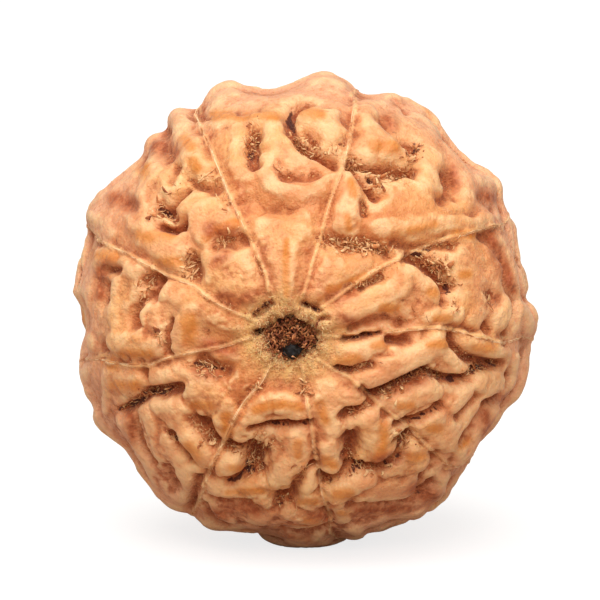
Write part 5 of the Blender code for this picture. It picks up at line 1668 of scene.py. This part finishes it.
def makeCrumbs(tree):
    draw = np.random.default_rng(crumbSettings["seed"])
    count = crumbSettings["count"]
    turn = draw.uniform(0.0, tau, count)
    nearest, spread = crumbSettings["ring"]
    reach = nearest + spread * draw.beta(1.0, 2.4, count)
    pixels = withTufts(roundHole(turn, reach), crumbSettings["tufts"], draw)
    places, normals, faces = castFromPicture(tree, pixels)
    radius = draw.uniform(*crumbSettings["radius"], len(places)) * draw.uniform(0.5, 1.0, len(places))
    tone = 0.35 + 0.65 * draw.beta(2.0, 1.5, len(places))
    scatterCrumbs("ringCrumbs", places, normals, radius, tone, (0.88, 0.58, 0.27, 1.0), draw)


def makeCrust(tree):
    # The thick pale crust that rims the hole
    draw = np.random.default_rng(crumbSettings["seed"] + 2)
    count = crumbSettings["crustCount"]
    turn = draw.uniform(0.0, tau, count)
    nearest, spread, ripple, waves = crumbSettings["crustRing"]
    reach = nearest + spread * draw.beta(1.2, 2.0, count) + ripple * np.sin(waves * turn + 1.0)
    pixels = roundHole(turn, reach)
    places, normals, faces = castFromPicture(tree, pixels)
    radius = draw.uniform(*crumbSettings["crustRadius"], len(places)) * draw.uniform(0.4, 1.0, len(places))
    tone = 0.35 + 0.6 * draw.beta(1.5, 1.5, len(places))
    scatterCrumbs("crust", places, normals, radius, tone, (0.93, 0.67, 0.32, 1.0), draw)


def makePlugCrumbs():
    # Reddish and dark grains among the fibres in the hole's mouth
    draw = np.random.default_rng(crumbSettings["seed"] + 3)
    places = plugPlaces(draw, crumbSettings["plugCount"])
    count = len(places)
    radius = draw.uniform(*crumbSettings["plugRadius"], count) * draw.uniform(0.4, 1.0, count)
    outward = np.tile((0.0, -1.0, 0.0), (count, 1))
    tone = draw.beta(1.0, 3.0, count)
    scatterCrumbs("plugCrumbs", places, outward, radius, tone, (0.74, 0.36, 0.18, 1.0), draw)


def makePitCrumbs(seed):
    draw = np.random.default_rng(crumbSettings["seed"] + 1)
    points = meshPoints(seed.data)
    share = readPoints(seed, "fibre") + 0.12 * readPoints(seed, "crevice") * readPoints(seed, "hollow")
    share = share * (points[:, 2] > 0.0008)
    chosen = draw.choice(len(points), crumbSettings["pitCount"], replace=False, p=share / share.sum())
    normals = meshNormals(seed.data)[chosen]
    radius = draw.uniform(*crumbSettings["pitRadius"], len(chosen)) * draw.uniform(0.4, 1.0, len(chosen))
    tone = draw.beta(1.8, 1.5, len(chosen))
    scatterCrumbs("pitCrumbs", points[chosen], normals, radius, tone, (0.84, 0.48, 0.22, 1.0), draw)


def scatterCrumbs(name, places, normals, radius, tone, light, draw):
    bit = bmesh.new()
    bmesh.ops.create_icosphere(bit, subdivisions=1, radius=1.0)
    corners = np.array([vertex.co for vertex in bit.verts])
    faces = np.array([[vertex.index for vertex in face.verts] for face in bit.faces])
    bit.free()
    total = len(places)
    shape = corners[None] * draw.uniform(0.6, 1.3, size=(total, len(corners), 1)) * radius[:, None, None]
    shape = shape + (places + normals * (radius * 0.35)[:, None])[:, None]
    allFaces = (faces[None] + (np.arange(total) * len(corners))[:, None, None]).reshape(-1, 3)
    mesh = bpy.data.meshes.new(name)
    mesh.from_pydata(shape.reshape(-1, 3).tolist(), [], allFaces.tolist())
    paint(mesh, "tone", np.repeat(tone, len(corners)))
    mesh.materials.append(fibreMaterial(name, 0.2, light))
    addPiece(name, mesh)


# The plain white floor and the soft lights
stageSettings = {"size": 6.0, "seen": (0.30, 0.30, 0.30, 1.0), "glow": 0.78, "bounce": (0.46, 0.38, 0.31, 1.0)}
lightSettings = {
    "keyFrom": (-0.12, -0.72, 1.7),     # the soft overhead light comes from there
    "keyStrength": 2.70,
    "keySoftness": radians(55.0),
    "front": {"place": (0.06, -0.42, 0.24), "size": 0.25, "power": 0.98, "colour": (1.0, 0.97, 0.94)},
    "world": 0.34,
    "worldColour": (1.0, 0.87, 0.77, 1.0),
}


def makeFloor():
    bpy.ops.mesh.primitive_plane_add(size=stageSettings["size"], location=(0.0, 0.0, 0.0))
    floor = bpy.context.object
    floor.name = "floor"
    material, tree, shader = newMaterial("whiteFloor")
    shader.inputs["Base Color"].default_value = stageSettings["bounce"]
    shader.inputs["Roughness"].default_value = 0.9
    paper = addNode(tree, "ShaderNodeBsdfDiffuse")
    paper.inputs["Color"].default_value = stageSettings["seen"]
    glow = addNode(tree, "ShaderNodeEmission")
    glow.inputs["Strength"].default_value = stageSettings["glow"]
    seen = addNode(tree, "ShaderNodeAddShader")
    tree.links.new(paper.outputs[0], seen.inputs[0])
    tree.links.new(glow.outputs[0], seen.inputs[1])
    eye = addNode(tree, "ShaderNodeLightPath")
    blend = addNode(tree, "ShaderNodeMixShader")
    feed(tree, blend.inputs[0], eye.outputs["Is Camera Ray"])
    tree.links.new(shader.outputs[0], blend.inputs[1])
    tree.links.new(seen.outputs[0], blend.inputs[2])
    output = tree.nodes["Material Output"]
    tree.links.new(blend.outputs[0], output.inputs["Surface"])
    floor.data.materials.append(material)


def makeLight(name, place, size, power, colour):
    light = bpy.data.lights.new(name, "AREA")
    light.shape = "DISK"
    light.size = size
    light.energy = power
    light.color = colour
    lamp = bpy.data.objects.new(name, light)
    bpy.context.scene.collection.objects.link(lamp)
    lamp.location = place
    aim = Vector((0.0, 0.0, restLevel)) - Vector(place)
    lamp.rotation_euler = aim.to_track_quat("-Z", "Y").to_euler()


def makeKey():
    light = bpy.data.lights.new("keyLight", "SUN")
    light.energy = lightSettings["keyStrength"]
    light.angle = lightSettings["keySoftness"]
    light.color = (1.0, 0.98, 0.95)
    lamp = bpy.data.objects.new("keyLight", light)
    bpy.context.scene.collection.objects.link(lamp)
    lamp.rotation_euler = (-Vector(lightSettings["keyFrom"])).to_track_quat("-Z", "Y").to_euler()


def makeWorld():
    world = bpy.data.worlds.new("softWhite")
    bpy.context.scene.world = world
    world.use_nodes = True
    ground = world.node_tree.nodes["Background"]
    ground.inputs["Color"].default_value = lightSettings["worldColour"]
    ground.inputs["Strength"].default_value = lightSettings["world"]


def makeStage():
    makeFloor()
    makeKey()
    makeLight("frontLight", **lightSettings["front"])
    makeWorld()
    bpy.context.scene.view_settings.view_transform = "Standard"
    print("stage and lights placed")


def main():
    makeCamera()
    makeStage()
    seed = makeSeed()
    polygons = [tuple(face.vertices) for face in seed.data.polygons]
    surface = BVHTree.FromPolygons([vertex.co for vertex in seed.data.vertices], polygons)
    makePitFibres(surface, seed)
    makeShavings(surface)
    makeHiddenFibres(surface, seed)
    makeHoleFibres()
    makeBlackGrain()
    makeSeamThreads(surface)
    makeCrumbs(surface)
    makeCrust(surface)
    makeCrustHairs(surface)
    makePitCrumbs(seed)
    makePlugCrumbs()


main()
